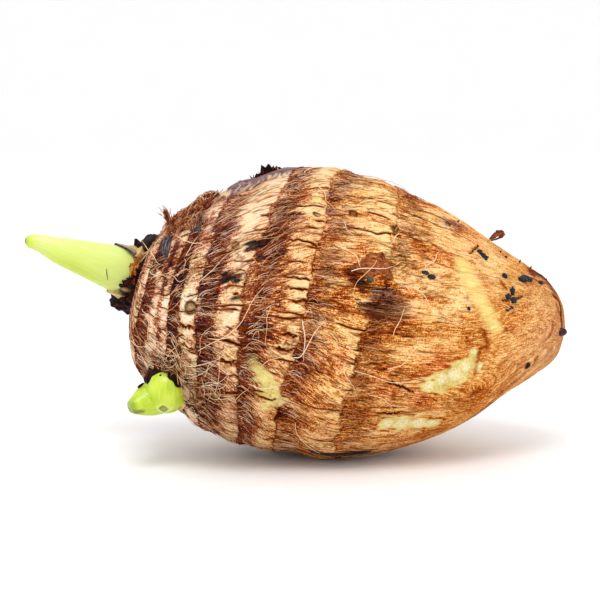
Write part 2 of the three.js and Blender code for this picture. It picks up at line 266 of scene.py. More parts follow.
# How weathered the skin is along the corm, from 0, pale cork, to 1, black fibre: pairs of ring and value.
WEATHER = np.array([
    (0.0, 0.55), (0.7, 0.35), (1.3, 0.18), (1.7, 0.5), (1.98, 0.2),
    (2.0, 0.75), (2.25, 0.6), (2.5, 0.12), (2.75, 0.3), (2.98, 0.1),
    (3.0, 0.85), (3.22, 0.75), (3.32, 0.15), (3.5, 0.1), (3.6, 0.72), (3.7, 0.6), (3.8, 0.08), (3.98, 0.1),
    (4.0, 0.95), (4.38, 0.8), (4.46, 0.2), (4.7, 0.08), (4.98, 0.14),
    (5.0, 0.92), (5.5, 0.78), (5.57, 0.32), (5.75, 0.16), (5.98, 0.18),
    (6.0, 0.97), (6.42, 0.83), (6.5, 0.42), (6.64, 0.22), (6.72, 0.1), (6.98, 0.1),
    (7.0, 0.82), (7.14, 0.62), (7.22, 0.38), (7.6, 0.32), (7.85, 0.2), (7.98, 0.18),
    (8.0, 0.66), (8.2, 0.5), (8.4, 0.38), (8.7, 0.27), (9.1, 0.31), (9.6, 0.37),
    (10.2, 0.36), (11.0, 0.39), (12.0, 0.36), (12.6, 0.42), (14.0, 0.62),
])


def weather_and_top_light(ring, turn):
    """How weathered a place of the skin is, with painted top light on its upper side. Each block of cork has
    its own share of the band.
    """
    zone, past = zone_of(ring)
    strip, _, _ = strips(ring, turn, STRIPS, STRIP_SEED)
    own = np.random.default_rng(12).uniform(-1, 1, (3, STRIPS, NOISE_ROWS))[:, strip, zone.astype(int)]
    banded = smooth(ring, 1.6, 2.1) * (1 - smooth(ring, 9.0, 9.6))
    stretch = 2.0 ** (banded * (0.8 * noise(turn, zone * 3.7, 14, 11) + 0.55 * own[0] - 0.1))
    shifted = np.where(past < 1, zone + np.minimum(past, 1) ** stretch, ring)
    value = np.interp(shifted, WEATHER[:, 0], WEATHER[:, 1])
    contrast = 1 - banded * (0.13 + 0.17 * smooth(ring, 5.0, 6.2) + 0.25 * noise(turn, zone * 5.1, 8, 15))
    value = 0.4 + (value - 0.4) * contrast
    block = banded * (0.1 * own[1] + 0.2 * np.maximum(0, own[2] - 0.55) / 0.45 * (past > 0.35))
    # The upper side is made paler: a painted top light.
    value = value - 0.26 * bump(turn, 0.33, 0.1) * smooth(ring, 4.3, 5.6) * (1 - smooth(ring, 9.6, 10.6))
    patches = layers(turn, ring, (0.14, 1.7, 20, 13)) + layers(combed(ring, turn), ring, (0.12, 2.6, 90, 14))
    return value + block + patches * (1 - 0.5 * smooth(ring, 9.4, 10.4))


# Cracks along the cork: strips between them, half width, depth, how many are open and the random seed.
CRACK_SETS = [(STRIPS, 0.21, 0.48, 0.6, STRIP_SEED), (117, 0.17, 0.28, 0.42, 27)]


def cracks(ring, turn):
    """How deep the cracks of the cork are here, in millimetres."""
    deepest = np.zeros(ring.shape)
    for count, width, depth, share, seed in CRACK_SETS:
        _, side, away = strips(ring, turn, count, seed)
        chance = np.random.default_rng(seed + 5).random((count, NOISE_ROWS))
        row = ring * 3.1
        low = np.floor(row).astype(int)
        step = smooth(row - low, 0, 1)
        value = chance[side, low % NOISE_ROWS] * (1 - step) + chance[side, (low + 1) % NOISE_ROWS] * step
        open_here = smooth(value, 1 - share - 0.12, 1 - share + 0.25)
        deepest = np.maximum(deepest, depth * open_here * np.exp(-((away / width) ** 2)))
    _, past = zone_of(ring)
    covered = 1 - 0.55 * (1 - smooth(past, 0.1, 0.4)) * smooth(ring, 2.8, 3.1)
    begun = smooth(ring, 0.8, 1.6)
    healed = (1 - 0.8 * smooth(ring, 8.4, 9.4)) * (1 - smooth(ring, 10, 11))
    return deepest * covered * begun * healed


# Round places on the skin: ring, turn, radius.
PEELED = [
    (6.27, 0.54, 2.2), (6.38, 0.547, 3.1), (6.56, 0.557, 3.6), (6.77, 0.57, 4.2), (6.93, 0.583, 3.9),
    (9.16, 0.552, 2.4), (9.34, 0.546, 3.4), (9.52, 0.537, 3.8), (9.68, 0.528, 2.8), (9.76, 0.505, 1.9),
    (9.9, 0.535, 1.6), (8.62, 0.613, 2.6), (8.82, 0.617, 3.7), (9.05, 0.622, 3.8), (9.25, 0.628, 2.8),
    (6.79, 0.347, 1.3), (6.5, 0.96, 3.0), (6.7, 0.975, 3.6), (9.3, 0.08, 3.4), (9.5, 0.07, 3.0),
    (8.4, 0.85, 3.2), (8.6, 0.845, 3.6),
]
YELLOW = [
    (9.2, 0.376, 3.2), (9.33, 0.387, 4.0), (9.47, 0.398, 4.0), (9.61, 0.409, 3.5), (9.75, 0.421, 3.3),
    (9.89, 0.434, 3.6), (10.01, 0.447, 3.7), (10.12, 0.46, 3.2),
    (9.7, 0.06, 6.0), (10.2, 0.12, 5.0), (9.9, 0.8, 5.5),
]
SOOT_AND_PIT_SHADE = [
    (5.22, 0.434, 2.4), (5.45, 0.443, 3.4), (5.66, 0.452, 3.0), (5.86, 0.408, 2.6), (6.08, 0.413, 3.2),
    # The three entries from (7.5, 0.4285) to (7.74, 0.4415) blacken the eye's pit: painted shade in the
    # hollow.
    (6.3, 0.419, 2.4), (7.5, 0.4285, 1.3), (7.63, 0.4345, 1.6), (7.74, 0.4415, 1.5), (11.32, 0.582, 1.1),
    (5.2, 0.1, 2.2), (5.4, 0.11, 2.4), (6.2, 0.9, 2.2), (7.4, 0.07, 1.9),
]
PURPLE = [
    (4.75, 0.3, 3.6), (4.95, 0.298, 3.6), (5.15, 0.29, 3.6), (5.4, 0.295, 3.2), (5.65, 0.29, 3.2),
    (5.9, 0.285, 3.0), (8.85, 0.3, 2.6), (9.0, 0.292, 2.2), (8.7, 0.31, 2.0), (7.05, 0.335, 2.6),
    (7.05, 0.36, 2.0), (7.95, 0.46, 3.0), (8.2, 0.452, 2.6), (11.0, 0.285, 2.2), (11.4, 0.262, 2.2),
    (11.9, 0.262, 2.0), (12.3, 0.3, 2.4), (4.9, 0.37, 3.0), (5.3, 0.375, 3.0), (6.3, 0.39, 3.0),
    (6.45, 0.375, 2.6), (7.9, 0.0, 3.6), (8.2, 0.02, 3.0), (6.9, 0.85, 3.0), (5.2, 0.95, 3.5),
    (9.0, 0.2, 2.6), (12.3, 0.1, 3.0),
]
ROOT_SCARS = [
    (4.86, 0.478, 2.1), (3.09, 0.428, 1.3), (7.39, 0.353, 1.3), (8.01, 0.36, 1.4), (5.54, 0.404, 1.2),
    (6.82, 0.37, 0.9), (8.75, 0.31, 0.9), (6.4, 0.63, 1.1), (5.6, 0.6, 1.0), (4.6, 0.05, 1.5),
    (6.75, 0.12, 1.4), (7.5, 0.93, 1.5), (5.85, 0.8, 1.3), (8.4, 0.02, 1.2), (3.7, 0.9, 1.3),
]
# Places that are darker, or paler, than their band: ring, turn, radius and by how much.
BLOTCHES_AND_PIT_SHADE = [
    (8.15, 0.445, 4.0, 0.12), (8.2, 0.475, 4.5, 0.14), (8.55, 0.48, 5.5, 0.1), (8.85, 0.465, 4.0, 0.06),
    (8.35, 0.4, 4.5, 0.1), (8.5, 0.365, 5.0, 0.1), (8.45, 0.33, 5.0, 0.1), (8.9, 0.305, 3.5, 0.3),
    (7.75, 0.415, 5.5, 0.22), (7.5, 0.46, 4.0, 0.12), (7.0, 0.34, 4.0, 0.3), (6.2, 0.4, 4.0, 0.2),
    (4.84, 0.478, 4.6, -0.6), (3.09, 0.428, 2.4, -0.3), (11.0, 0.285, 2.2, 0.5), (11.4, 0.262, 2.4, 0.6),
    (11.9, 0.262, 2.2, 0.6), (12.4, 0.31, 2.0, 0.3), (3.9, 0.43, 5.0, 0.3), (3.5, 0.4, 5.0, 0.35),
    (4.9, 0.4, 5.0, 0.25), (4.7, 0.36, 5.0, 0.2), (10.1, 0.6, 5.5, 0.25), (10.8, 0.62, 5.0, 0.2),
    (8.2, 0.6, 6.0, 0.15), (7.4, 0.62, 6.0, 0.15), (9.3, 0.44, 6.5, -0.03), (9.4, 0.37, 7.0, -0.06),
    (7.9, 0.425, 4.5, 0.3), (8.1, 0.442, 4.5, 0.22), (8.05, 0.46, 4.0, 0.15), (6.85, 0.45, 5.0, -0.12),
    # The entries at (7.5, 0.4285), (7.63, 0.4345) and (7.74, 0.442) darken the eye's pit: painted shade in
    # the hollow.
    (11.6, 0.4, 5.0, -0.08), (5.45, 0.443, 4.6, 0.3), (6.08, 0.414, 4.6, 0.25), (7.5, 0.4285, 2.2, 0.6),
    (7.63, 0.4345, 2.2, 0.6), (7.74, 0.442, 2.2, 0.5), (7.28, 0.44, 3.4, -0.2), (4.2, 0.425, 3.0, 0.35),
    (4.2, 0.45, 3.0, 0.35), (4.2, 0.475, 2.6, 0.3), (4.22, 0.5, 2.8, 0.35), (4.22, 0.525, 2.8, 0.35),
    (5.2, 0.5, 3.2, 0.3), (5.25, 0.53, 3.2, 0.35), (6.1, 0.505, 3.4, 0.35), (6.3, 0.5, 3.2, 0.3),
    (5.25, 0.46, 3.4, 0.3), (6.1, 0.46, 3.4, 0.25), (6.15, 0.53, 3.0, 0.3), (6.1, 0.58, 4.0, 0.25),
    (7.05, 0.53, 3.0, 0.25), (7.05, 0.6, 4.0, 0.2), (8.3, 0.95, 6.0, 0.25), (8.6, 0.15, 7.0, 0.22),
    (7.6, 0.05, 6.0, 0.3), (9.4, 0.9, 7.0, -0.1), (10.4, 0.7, 6.0, 0.2), (10.3, 0.0, 6.0, 0.2),
]
# Dark lines on the skin: half width, depth, how black it is from 0 to 1, and the places that each passes.
DARK_LINES = [
    (0.27, 0.48, 1.0, [(5.1, 0.477), (5.5, 0.482), (5.98, 0.484), (6.57, 0.488), (7.25, 0.485)]),
    (0.26, 0.48, 1.0, [(4.98, 0.513), (5.46, 0.514), (5.75, 0.518), (6.04, 0.522), (6.5, 0.522)]),
    (0.24, 0.42, 1.0, [(6.64, 0.52), (6.8, 0.523), (6.99, 0.52)]),
    (0.25, 0.35, 1.0, [(6.69, 0.506), (6.82, 0.504), (6.96, 0.505)]),
    (0.24, 0.42, 1.0, [(5.77, 0.428), (6.07, 0.43), (6.4, 0.433)]),
    (0.24, 0.42, 1.0, [(5.66, 0.466), (6.01, 0.468), (6.42, 0.47)]),
    (0.24, 0.4, 1.0, [(6.76, 0.47), (7.09, 0.467), (7.37, 0.465)]),
    (0.28, 0.45, 1.0, [(5.6, 0.54), (5.8, 0.543), (6.01, 0.542)]),
    (0.24, 0.4, 1.0, [(5.63, 0.583), (6.35, 0.581), (6.97, 0.583)]),
    (0.28, 0.45, 1.0, [(5.86, 0.369), (6.2, 0.368), (6.53, 0.3695)]),
    (0.28, 0.45, 1.0, [(6.2, 0.401), (6.46, 0.403), (6.95, 0.407)]),
    (0.26, 0.4, 1.0, [(6.84, 0.377), (7.0, 0.378), (7.25, 0.373), (7.64, 0.376), (8.1, 0.367)]),
    (0.26, 0.4, 1.0, [(6.3, 0.443), (6.6, 0.446), (6.98, 0.445)]),
    (0.26, 0.4, 1.0, [(6.55, 0.456), (6.75, 0.457), (6.98, 0.455)]),
    (0.24, 0.4, 1.0, [(4.45, 0.5), (4.7, 0.502), (4.98, 0.501)]),
    (0.24, 0.4, 1.0, [(4.5, 0.528), (4.75, 0.527), (4.98, 0.53)]),
    (0.24, 0.4, 1.0, [(5.55, 0.5), (5.8, 0.502), (5.98, 0.5)]),
    (0.24, 0.4, 1.0, [(5.5, 0.558), (5.75, 0.56), (6.05, 0.557)]),
    (0.3, 0.35, 1.0, [(8.53, 0.542), (8.73, 0.548), (8.92, 0.558)]),
    (0.25, 0.35, 1.0, [(8.46, 0.589), (8.62, 0.592), (8.78, 0.591)]),
    # This line darkens the neck's fold: painted shade in the crease.
    (0.5, 0.2, 0.35, [(9.9, 0.469), (10.02, 0.492), (9.87, 0.502), (9.88, 0.546)]),
    (0.6, 0.25, 0.6, [(10.91, 0.282), (11.32, 0.252), (11.83, 0.259), (12.15, 0.273)]),
    (0.5, 0.25, 0.35, [(11.05, 0.311), (11.52, 0.304), (11.9, 0.29)]),
    (0.5, 0.4, 0.75, [(12.29, 0.339), (12.68, 0.344), (12.84, 0.377), (12.81, 0.415), (12.94, 0.465)]),
    (0.35, 0.3, 0.35, [(12.44, 0.368), (12.55, 0.385), (12.65, 0.407)]),
    (0.35, 0.35, 0.35, [(12.24, 0.456), (12.27, 0.485), (12.04, 0.518)]),
    (0.35, 0.3, 0.35, [(11.58, 0.597), (11.73, 0.573)]),
    (0.35, 0.2, 0.35, [(10.04, 0.373), (10.2, 0.384)]),
    (0.25, 0.3, 1.0, [(9.24, 0.349), (9.38, 0.321)]),
    (0.6, 0.45, 0.35, [(9.9, 0.02), (10.05, 0.05), (9.85, 0.09)]),
    (0.5, 0.4, 0.35, [(12.3, 0.9), (12.7, 0.95), (12.8, 1.03), (12.6, 1.1)]),
]
FAR = 99.0
JAG = 0.0011  # how far a dark line strays to its sides, in turns
RING_LENGTH = 11.0  # of the grain, about a ring's real length


def nearness(point, places):
    """1 at the middle of the nearest of the places, 0 at its edge and less beyond."""
    spots = np.array(places)
    middles = bed(spots[:, 0], spots[:, 1])
    best = np.full(point.shape[:-1], -9.0)
    for middle, radius in zip(middles, spots[:, 2]):
        best = np.maximum(best, 1 - np.linalg.norm(point - middle, axis=-1) / radius)
    return best


def off_line(point, places, reach=3.0, pieces=16):
    """How far each point is from a line on the skin, where it is within reach of it."""
    ring, turn = spline(np.array(places), np.linspace(0, 1, pieces + 1)).T
    jagged = np.random.default_rng(round(1000 * places[0][0])).normal(0, JAG, pieces + 1)
    track = bed(ring, turn + jagged)
    away = np.full(point.shape[:-1], FAR)
    close = ((point > track.min(0) - reach) & (point < track.max(0) + reach)).all(-1)
    spot = point[close]
    for a, b in zip(track, track[1:]):
        share = np.clip(((spot - a) @ (b - a)) / ((b - a) @ (b - a)), 0, 1)
        away[close] = np.minimum(away[close], np.linalg.norm(spot - a - share[:, None] * (b - a), axis=-1))
    return away


def blotches_and_pit_shade(bare):
    """How much more, or less, weathered each place is than its band. The eye's pit is darkened as painted
    shade.
    """
    return sum(
        more * smooth(nearness(bare, [(ring, turn, radius)]), -0.3, 0.7)
        for ring, turn, radius, more in BLOTCHES_AND_PIT_SHADE
    )


def dark_lines(bare, ragged):
    """How deep and how black the dark lines are at each place, and how much darker the skin is beside them.
    On the fold it is painted shade.
    """
    deep, black, dull = np.zeros((3, *ragged.shape))
    for width, depth, blackness, places in DARK_LINES:
        line = np.exp(-((off_line(bare, places) * (1 + ragged) / width) ** 2))
        deep = np.maximum(deep, depth * line)
        black = np.maximum(black, blackness * line)
        dull = dull + 0.4 * (1 - blackness) * line
    return deep, black, dull


def fine_relief(ring, turn, wear_and_painted_light, strand):
    """The relief of strands, grains and blocks of cork."""
    fibrous = smooth(wear_and_painted_light, 0.45, 0.75)
    neck = smooth(ring, 8.6, 10)
    strip, _, _ = strips(ring, turn, STRIPS, STRIP_SEED)
    zone, past = zone_of(ring)
    block = np.random.default_rng(35).uniform(-1, 1, (STRIPS, NOISE_ROWS))[strip, zone.astype(int)]
    relief = (0.13 * fibrous + 0.08 * (1 - fibrous) * (1 - 0.3 * neck)) * strand
    relief = relief + 0.05 * noise(turn, ring * 9, 500, 34)
    return relief + 0.12 * smooth(past, 0.3, 0.5) * (1 - neck) * block


def surface(ring, turn, lift=0):
    """The skin with all its relief, and what its finish needs to know at each place."""
    bare = plain_skin(ring, turn)
    ragged = layers(turn, ring, (0.3, 3, 110, 31), (0.2, 8, 320, 32))
    deep, black, dull = dark_lines(bare, ragged)
    wear_and_painted_light = weather_and_top_light(ring, turn) + blotches_and_pit_shade(bare) + dull
    bare_spot = nearness(bare, PEELED)
    peeled = smooth(bare_spot + 1.3 * ragged, 0.0, 0.25)
    crack = cracks(ring, turn) * (1 - peeled)
    scar = nearness(bare, ROOT_SCARS)
    scar_rim = bump(scar, 0.18, 0.18)
    scar_face = smooth(scar, 0.1, 0.3)
    folds = wrinkles(ring, turn)
    fibre_turn = combed(ring, turn)
    strand = noise(fibre_turn, ring * 1.6, 420, 33)
    streaky = layers(fibre_turn, ring, (0.5, 1.3, 190, 36), (0.35, 2.9, 420, 37))
    relief = fine_relief(ring, turn, wear_and_painted_light, strand) + folds - np.maximum(crack, deep)
    relief = relief + 0.3 * scar_rim - 0.25 * scar_face
    relief = relief * (1 - 0.8 * peeled) - 0.18 * peeled
    scar_tone = 0.3 * scar_rim - 0.25 * scar_face * (1 - scar_rim)
    facts = {
        "ring": ring,
        # The folds darken the colour in their troughs and lighten it on their crests: painted shade of the
        # folds.
        "weathered_and_painted_light": np.clip(wear_and_painted_light - 0.7 * folds + 0.05 * strand + scar_tone, -0.2, 1.2),
        "cracked_and_fold_shade": np.maximum(np.clip(crack / 0.5, 0, 1), black),
        "peeled": peeled,
        "yellowed": smooth(nearness(bare, YELLOW) + 0.1 * streaky + 0.5 * ragged, -0.05, 0.85),
        "peel_heart": smooth(bare_spot + 0.5 * ragged, 0.3, 0.9),
        "sooty_and_pit_shade": smooth(nearness(bare, SOOT_AND_PIT_SHADE) + 1.4 * streaky + 0.3 * ragged, 0.0, 0.35),
        "purpled": smooth(nearness(bare, PURPLE) + 1.3 * streaky, -0.05, 0.8),
        "root_scar": scar_face,
        "scar_ring": np.clip(1.2 * bump(scar, 0.24, 0.2), 0, 1) + 0.5 * bump(scar, 0.68, 0.12),
        "grain": round_grain(ring, fibre_turn, RING_LENGTH, GIRTH),
    }
    out = bare - spline(MIDDLES, np.clip(ring, 0, RINGS) / RINGS)
    reach = np.maximum(np.linalg.norm(out, axis=-1), 1e-6)
    calm = np.minimum(1, reach / FINE_CALM_RADIUS)
    point = bare + out * ((relief * calm + lift) / reach)[..., None]
    return point, facts


def wrinkles(ring, turn):
    """Slanting folds of the shrunken neck."""
    where = smooth(ring, 9.7, 10.8) * (1 - smooth(ring, 11.8, 13.0))
    where = where * (0.35 + 0.65 * smooth(turn % 1, 0.5, 0.58))
    phase = 2 * np.pi * (ring * 1.2 + turn * 26) + 3.5 * noise(turn, ring * 1.3, 18, 43)
    return where * (0.13 * np.sin(phase) + 0.1 * np.sin(2.3 * phase + 1))


# ---- mesh makers ----

TINY = 1e-9
STEP = 1e-3  # along a path, to find which way it heads


def above_table(points):
    points[:, 2] = np.maximum(points[:, 2], ON_TABLE)
    return points


def linked(name, mesh):
    piece = bpy.data.objects.new(name, mesh)
    bpy.context.scene.collection.objects.link(piece)
    return piece


def shaped(name, mesh, points):
    """Moves the mesh's vertices to points and makes it a smooth piece with its faces outwards."""
    mesh.vertices.foreach_set("co", (points * MM).astype(np.float32).ravel())
    body = bmesh.new()
    body.from_mesh(mesh)
    bmesh.ops.recalc_face_normals(body, faces=body.faces)
    for face in body.faces:
        face.smooth = True
    body.to_mesh(mesh)
    body.free()
    return linked(name, mesh)


def coordinates(mesh):
    flat = np.empty(len(mesh.vertices) * 3, np.float32)
    mesh.vertices.foreach_get("co", flat)
    return flat.reshape(-1, 3).astype(float)


def ball(columns, rows):
    """A closed ball's mesh, and for each vertex its turn round the ball and its row from the first pole."""
    body = bmesh.new()
    bmesh.ops.create_grid(body, x_segments=columns, y_segments=rows, size=1)
    for vertex in body.verts:
        angle, tilt = (vertex.co.x + 1) * math.pi, (vertex.co.y + 1) * math.pi / 2
        out = math.sin(tilt)
        vertex.co = (out * math.cos(angle), out * math.sin(angle), -math.cos(tilt))
    bmesh.ops.remove_doubles(body, verts=[v for v in body.verts if v.is_boundary], dist=1e-5)
    mesh = bpy.data.meshes.new("ball")
    body.to_mesh(mesh)
    body.free()
    unit = coordinates(mesh)
    row = np.rint(np.arccos(np.clip(-unit[:, 2], -1, 1)) / np.pi * rows).astype(int)
    column = np.rint(np.arctan2(unit[:, 1], unit[:, 0]) / (2 * np.pi) * columns) % columns
    return mesh, column / columns, row


def keep_facts(piece, facts):
    """Writes what the finish reads on each vertex."""
    for name, values in facts.items():
        kind, key = ("FLOAT_VECTOR", "vector") if values.ndim == 2 else ("FLOAT", "value")
        attribute = piece.data.attributes.new(name, kind, "POINT")
        attribute.data.foreach_set(key, values.astype(np.float32).ravel())


def round_grain(along, turn, length, girth):
    """A place for the grain of a round form: round it in X and Y, along it in Z."""
    angle = turn * 2 * np.pi
    radius = girth / (2 * np.pi)
    return np.stack([radius * np.cos(angle), radius * np.sin(angle), along * length], -1)


def flat_grain(across, along):
    return np.stack([across, np.zeros(len(along)), along], -1)


def ball_way(turn, t):
    """The way from the middle of a ball to a place on it, t from pole to pole."""
    angle, tilt = turn * 2 * np.pi, t * np.pi
    return np.stack([np.sin(tilt) * np.cos(angle), np.sin(tilt) * np.sin(angle), -np.cos(tilt)], -1)


def unit_ways(ways):
    return ways / np.maximum(np.linalg.norm(ways, axis=-1, keepdims=True), TINY)


def round_place(path, t, angle, radius, depth=1.0):
    """A place on a round form along a path, and the way out. Angle 0 is in front, a quarter turn on top."""
    way = np.array(path, float)
    ahead = unit_ways(spline(way, t + STEP) - spline(way, t - STEP))
    side = unit_ways(np.cross((0, 0, 1), ahead))
    rise = np.cross(ahead, side)
    out = side * (np.cos(angle) * depth)[:, None] + rise * np.sin(angle)[:, None]
    return spline(way, t) + out * np.asarray(radius)[:, None], out


def stalk(name, path, radius, lip=None, end=1.0, depth=1.0, columns=48, rows=40):
    """A closed round form along a path, radius(t, turn) thick. lip(turn) is how far its rim reaches."""
    mesh, turn, row = ball(columns, rows)
    share = row / rows if lip is None else np.minimum(row / (rows - 1), 1) * lip(turn)
    t = np.where(row == rows, end, share)
    thick = np.where((row == 0) | (row == rows), 0, radius(t, turn))
    place, _ = round_place(path, t, turn * 2 * np.pi, thick, depth)
    return shaped(name, mesh, place), t, turn


def taper(radii):
    widths = np.array(radii, float)[:, None]
    return lambda t: spline(widths, t)[..., 0]


def lump(name, at, radii, rough=lambda turn, t: 1, columns=40, rows=24):
    """A closed lump with three half sizes, made uneven by rough(turn, t)."""
    mesh, turn, row = ball(columns, rows)
    t = row / rows
    scale = np.broadcast_to(rough(turn, t), t.shape)
    piece = shaped(name, mesh, np.array(at) + ball_way(turn, t) * np.array(radii) * scale[:, None])
    return piece, t, turn


def sheet_form(name, columns, rows, place):
    """A thin closed form: a block's face goes to place(along, out, through), each from 0 to 1."""
    body = bmesh.new()
    bmesh.ops.create_grid(body, x_segments=columns, y_segments=rows, size=0.5)
    flat = bmesh.ops.extrude_face_region(body, geom=body.faces[:])
    raised = [part for part in flat["geom"] if isinstance(part, bmesh.types.BMVert)]
    bmesh.ops.translate(body, verts=raised, vec=(0, 0, 1))
    mesh = bpy.data.meshes.new(name)
    body.to_mesh(mesh)
    body.free()
    unit = coordinates(mesh)
    along, out, through_it = unit[:, 0] + 0.5, unit[:, 1] + 0.5, unit[:, 2]
    return shaped(name, mesh, place(along, out, through_it)), along, out


def on_skin(ring, turn, lift):
    """A line over the skin, and which way is out along it."""
    line = bed(ring, turn, lift)
    return line, unit_ways(line - spline(MIDDLES, ring / RINGS))


def beside(line, out, share):
    """Places along a line, and which ways are aside and up there."""
    up = unit_ways(spline(out, share))
    aside = unit_ways(np.cross(spline(line, share + STEP) - spline(line, share - STEP), up))
    return spline(line, share), aside, up


def flake(name, line, out, widths, wall=0.4, arch=0.0, torn=0.25, seed=90, columns=30, rows=14):
    """A thin ragged scale along a line. widths are its half widths, and its sides turn down by arch."""
    half_widths = np.array(widths, float)[:, None]

    def place(along, across, through_it):
        share = np.clip(along + 0.12 * torn * flat_noise(across, 7.5, 12, seed + 1), 0, 1)
        middle, aside, up = beside(line, out, share)
        edge = 2 * across - 1
        ragged = 1 + torn * flat_noise(along, 3.5 + np.sign(edge), 28, seed)
        half = spline(half_widths, share)[..., 0] * ragged
        high = wall * through_it * (1 - 0.6 * edge**4) - arch * edge**2
        high = high + 0.3 * wall * flat_noise(along, across * 4, 16, seed + 2)
        return above_table(middle + aside * (edge * half)[:, None] + up * high[:, None])

    piece, along, across = sheet_form(name, columns, rows, place)
    length = np.linalg.norm(np.diff(line, axis=0), axis=-1).sum()
    edge = np.maximum(np.abs(2 * across - 1), np.abs(2 * along - 1))
    grain = flat_grain(across * 2 * max(widths), along * length)
    keep_facts(piece, {"grain": grain, "rim": smooth(edge, 0.6, 0.95)})
    return piece


STRAND_PITCH = 4.0  # how far apart the copies of one strand are laid out before each is moved to its path
STRAND_TAPER = 0.55
ASLANT = (0.31, 0.62, 0.72)  # a way that no strand follows


def strands(name, paths, radii, tint, sides=3):
    """Fine closed strands, one along each path, thinner towards the tip. Each has a tint of its own."""
    count, points, _ = paths.shape
    mesh, _, _ = ball(sides, points + 1)
    one = linked("strand", mesh)
    copies = one.modifiers.new("copies", "ARRAY")
    copies.count = count
    copies.use_relative_offset = False
    copies.use_constant_offset = True
    copies.constant_offset_displace = (STRAND_PITCH, 0, 0)
    many = bpy.data.meshes.new_from_object(one.evaluated_get(bpy.context.evaluated_depsgraph_get()))
    bpy.data.objects.remove(one)
    laid = coordinates(many)
    copy = np.rint(laid[:, 0] / STRAND_PITCH).astype(int)
    laid[:, 0] -= copy * STRAND_PITCH
    row = np.rint(np.arccos(np.clip(-laid[:, 2], -1, 1)) / np.pi * (points + 1)).astype(int)
    angle = np.arctan2(laid[:, 1], laid[:, 0])
    ahead = unit_ways(np.gradient(paths, axis=1))
    side = unit_ways(np.cross(ahead, ASLANT))
    rise = np.cross(ahead, side)
    step = np.clip(row - 1, 0, points - 1)
    inner = (row > 0) & (row <= points)
    t = step / max(points - 1, 1)
    thick = np.where(inner, radii[copy] * (1 - STRAND_TAPER * t**2), 0)
    place = paths[copy, step]
    place = place + side[copy, step] * (np.cos(angle) * thick)[:, None]
    place = place + rise[copy, step] * (np.sin(angle) * thick)[:, None]
    piece = shaped(name, many, above_table(place))
    keep_facts(piece, {"tint": tint[copy]})
    return piece


def bundle(name, line, out, widths, count, radius, seed):
    """Fine fibres that lie side by side along a line, within its half widths."""
    rng = np.random.default_rng(seed)
    start, end = rng.uniform(0, 0.4, count)[:, None], rng.uniform(0.6, 1, count)[:, None]
    share = start + (end - start) * np.linspace(0, 1, 9)
    middle, aside, up = beside(line, out, share)
    across = rng.uniform(-1, 1, count)[:, None] + rng.normal(0, 0.12, count)[:, None] * np.sin(5 * share)
    across = across * spline(np.array(widths, float)[:, None], share)[..., 0]
    high = rng.uniform(0.0, 0.3, count)[:, None] * np.sin(np.pi * share)
    paths = middle + aside * across[..., None] + up * high[..., None]
    return strands(name, paths, radius * rng.uniform(0.7, 1.3, count), rng.random(count))


# ---- finishes ----


def paint(code):
    """A colour from its usual hexadecimal code, as the shader wants it."""
    parts = [int(code[k:k + 2], 16) / 255 for k in (0, 2, 4)]
    return [p / 12.92 if p <= 0.04045 else ((p + 0.055) / 1.055) ** 2.4 for p in parts] + [1.0]


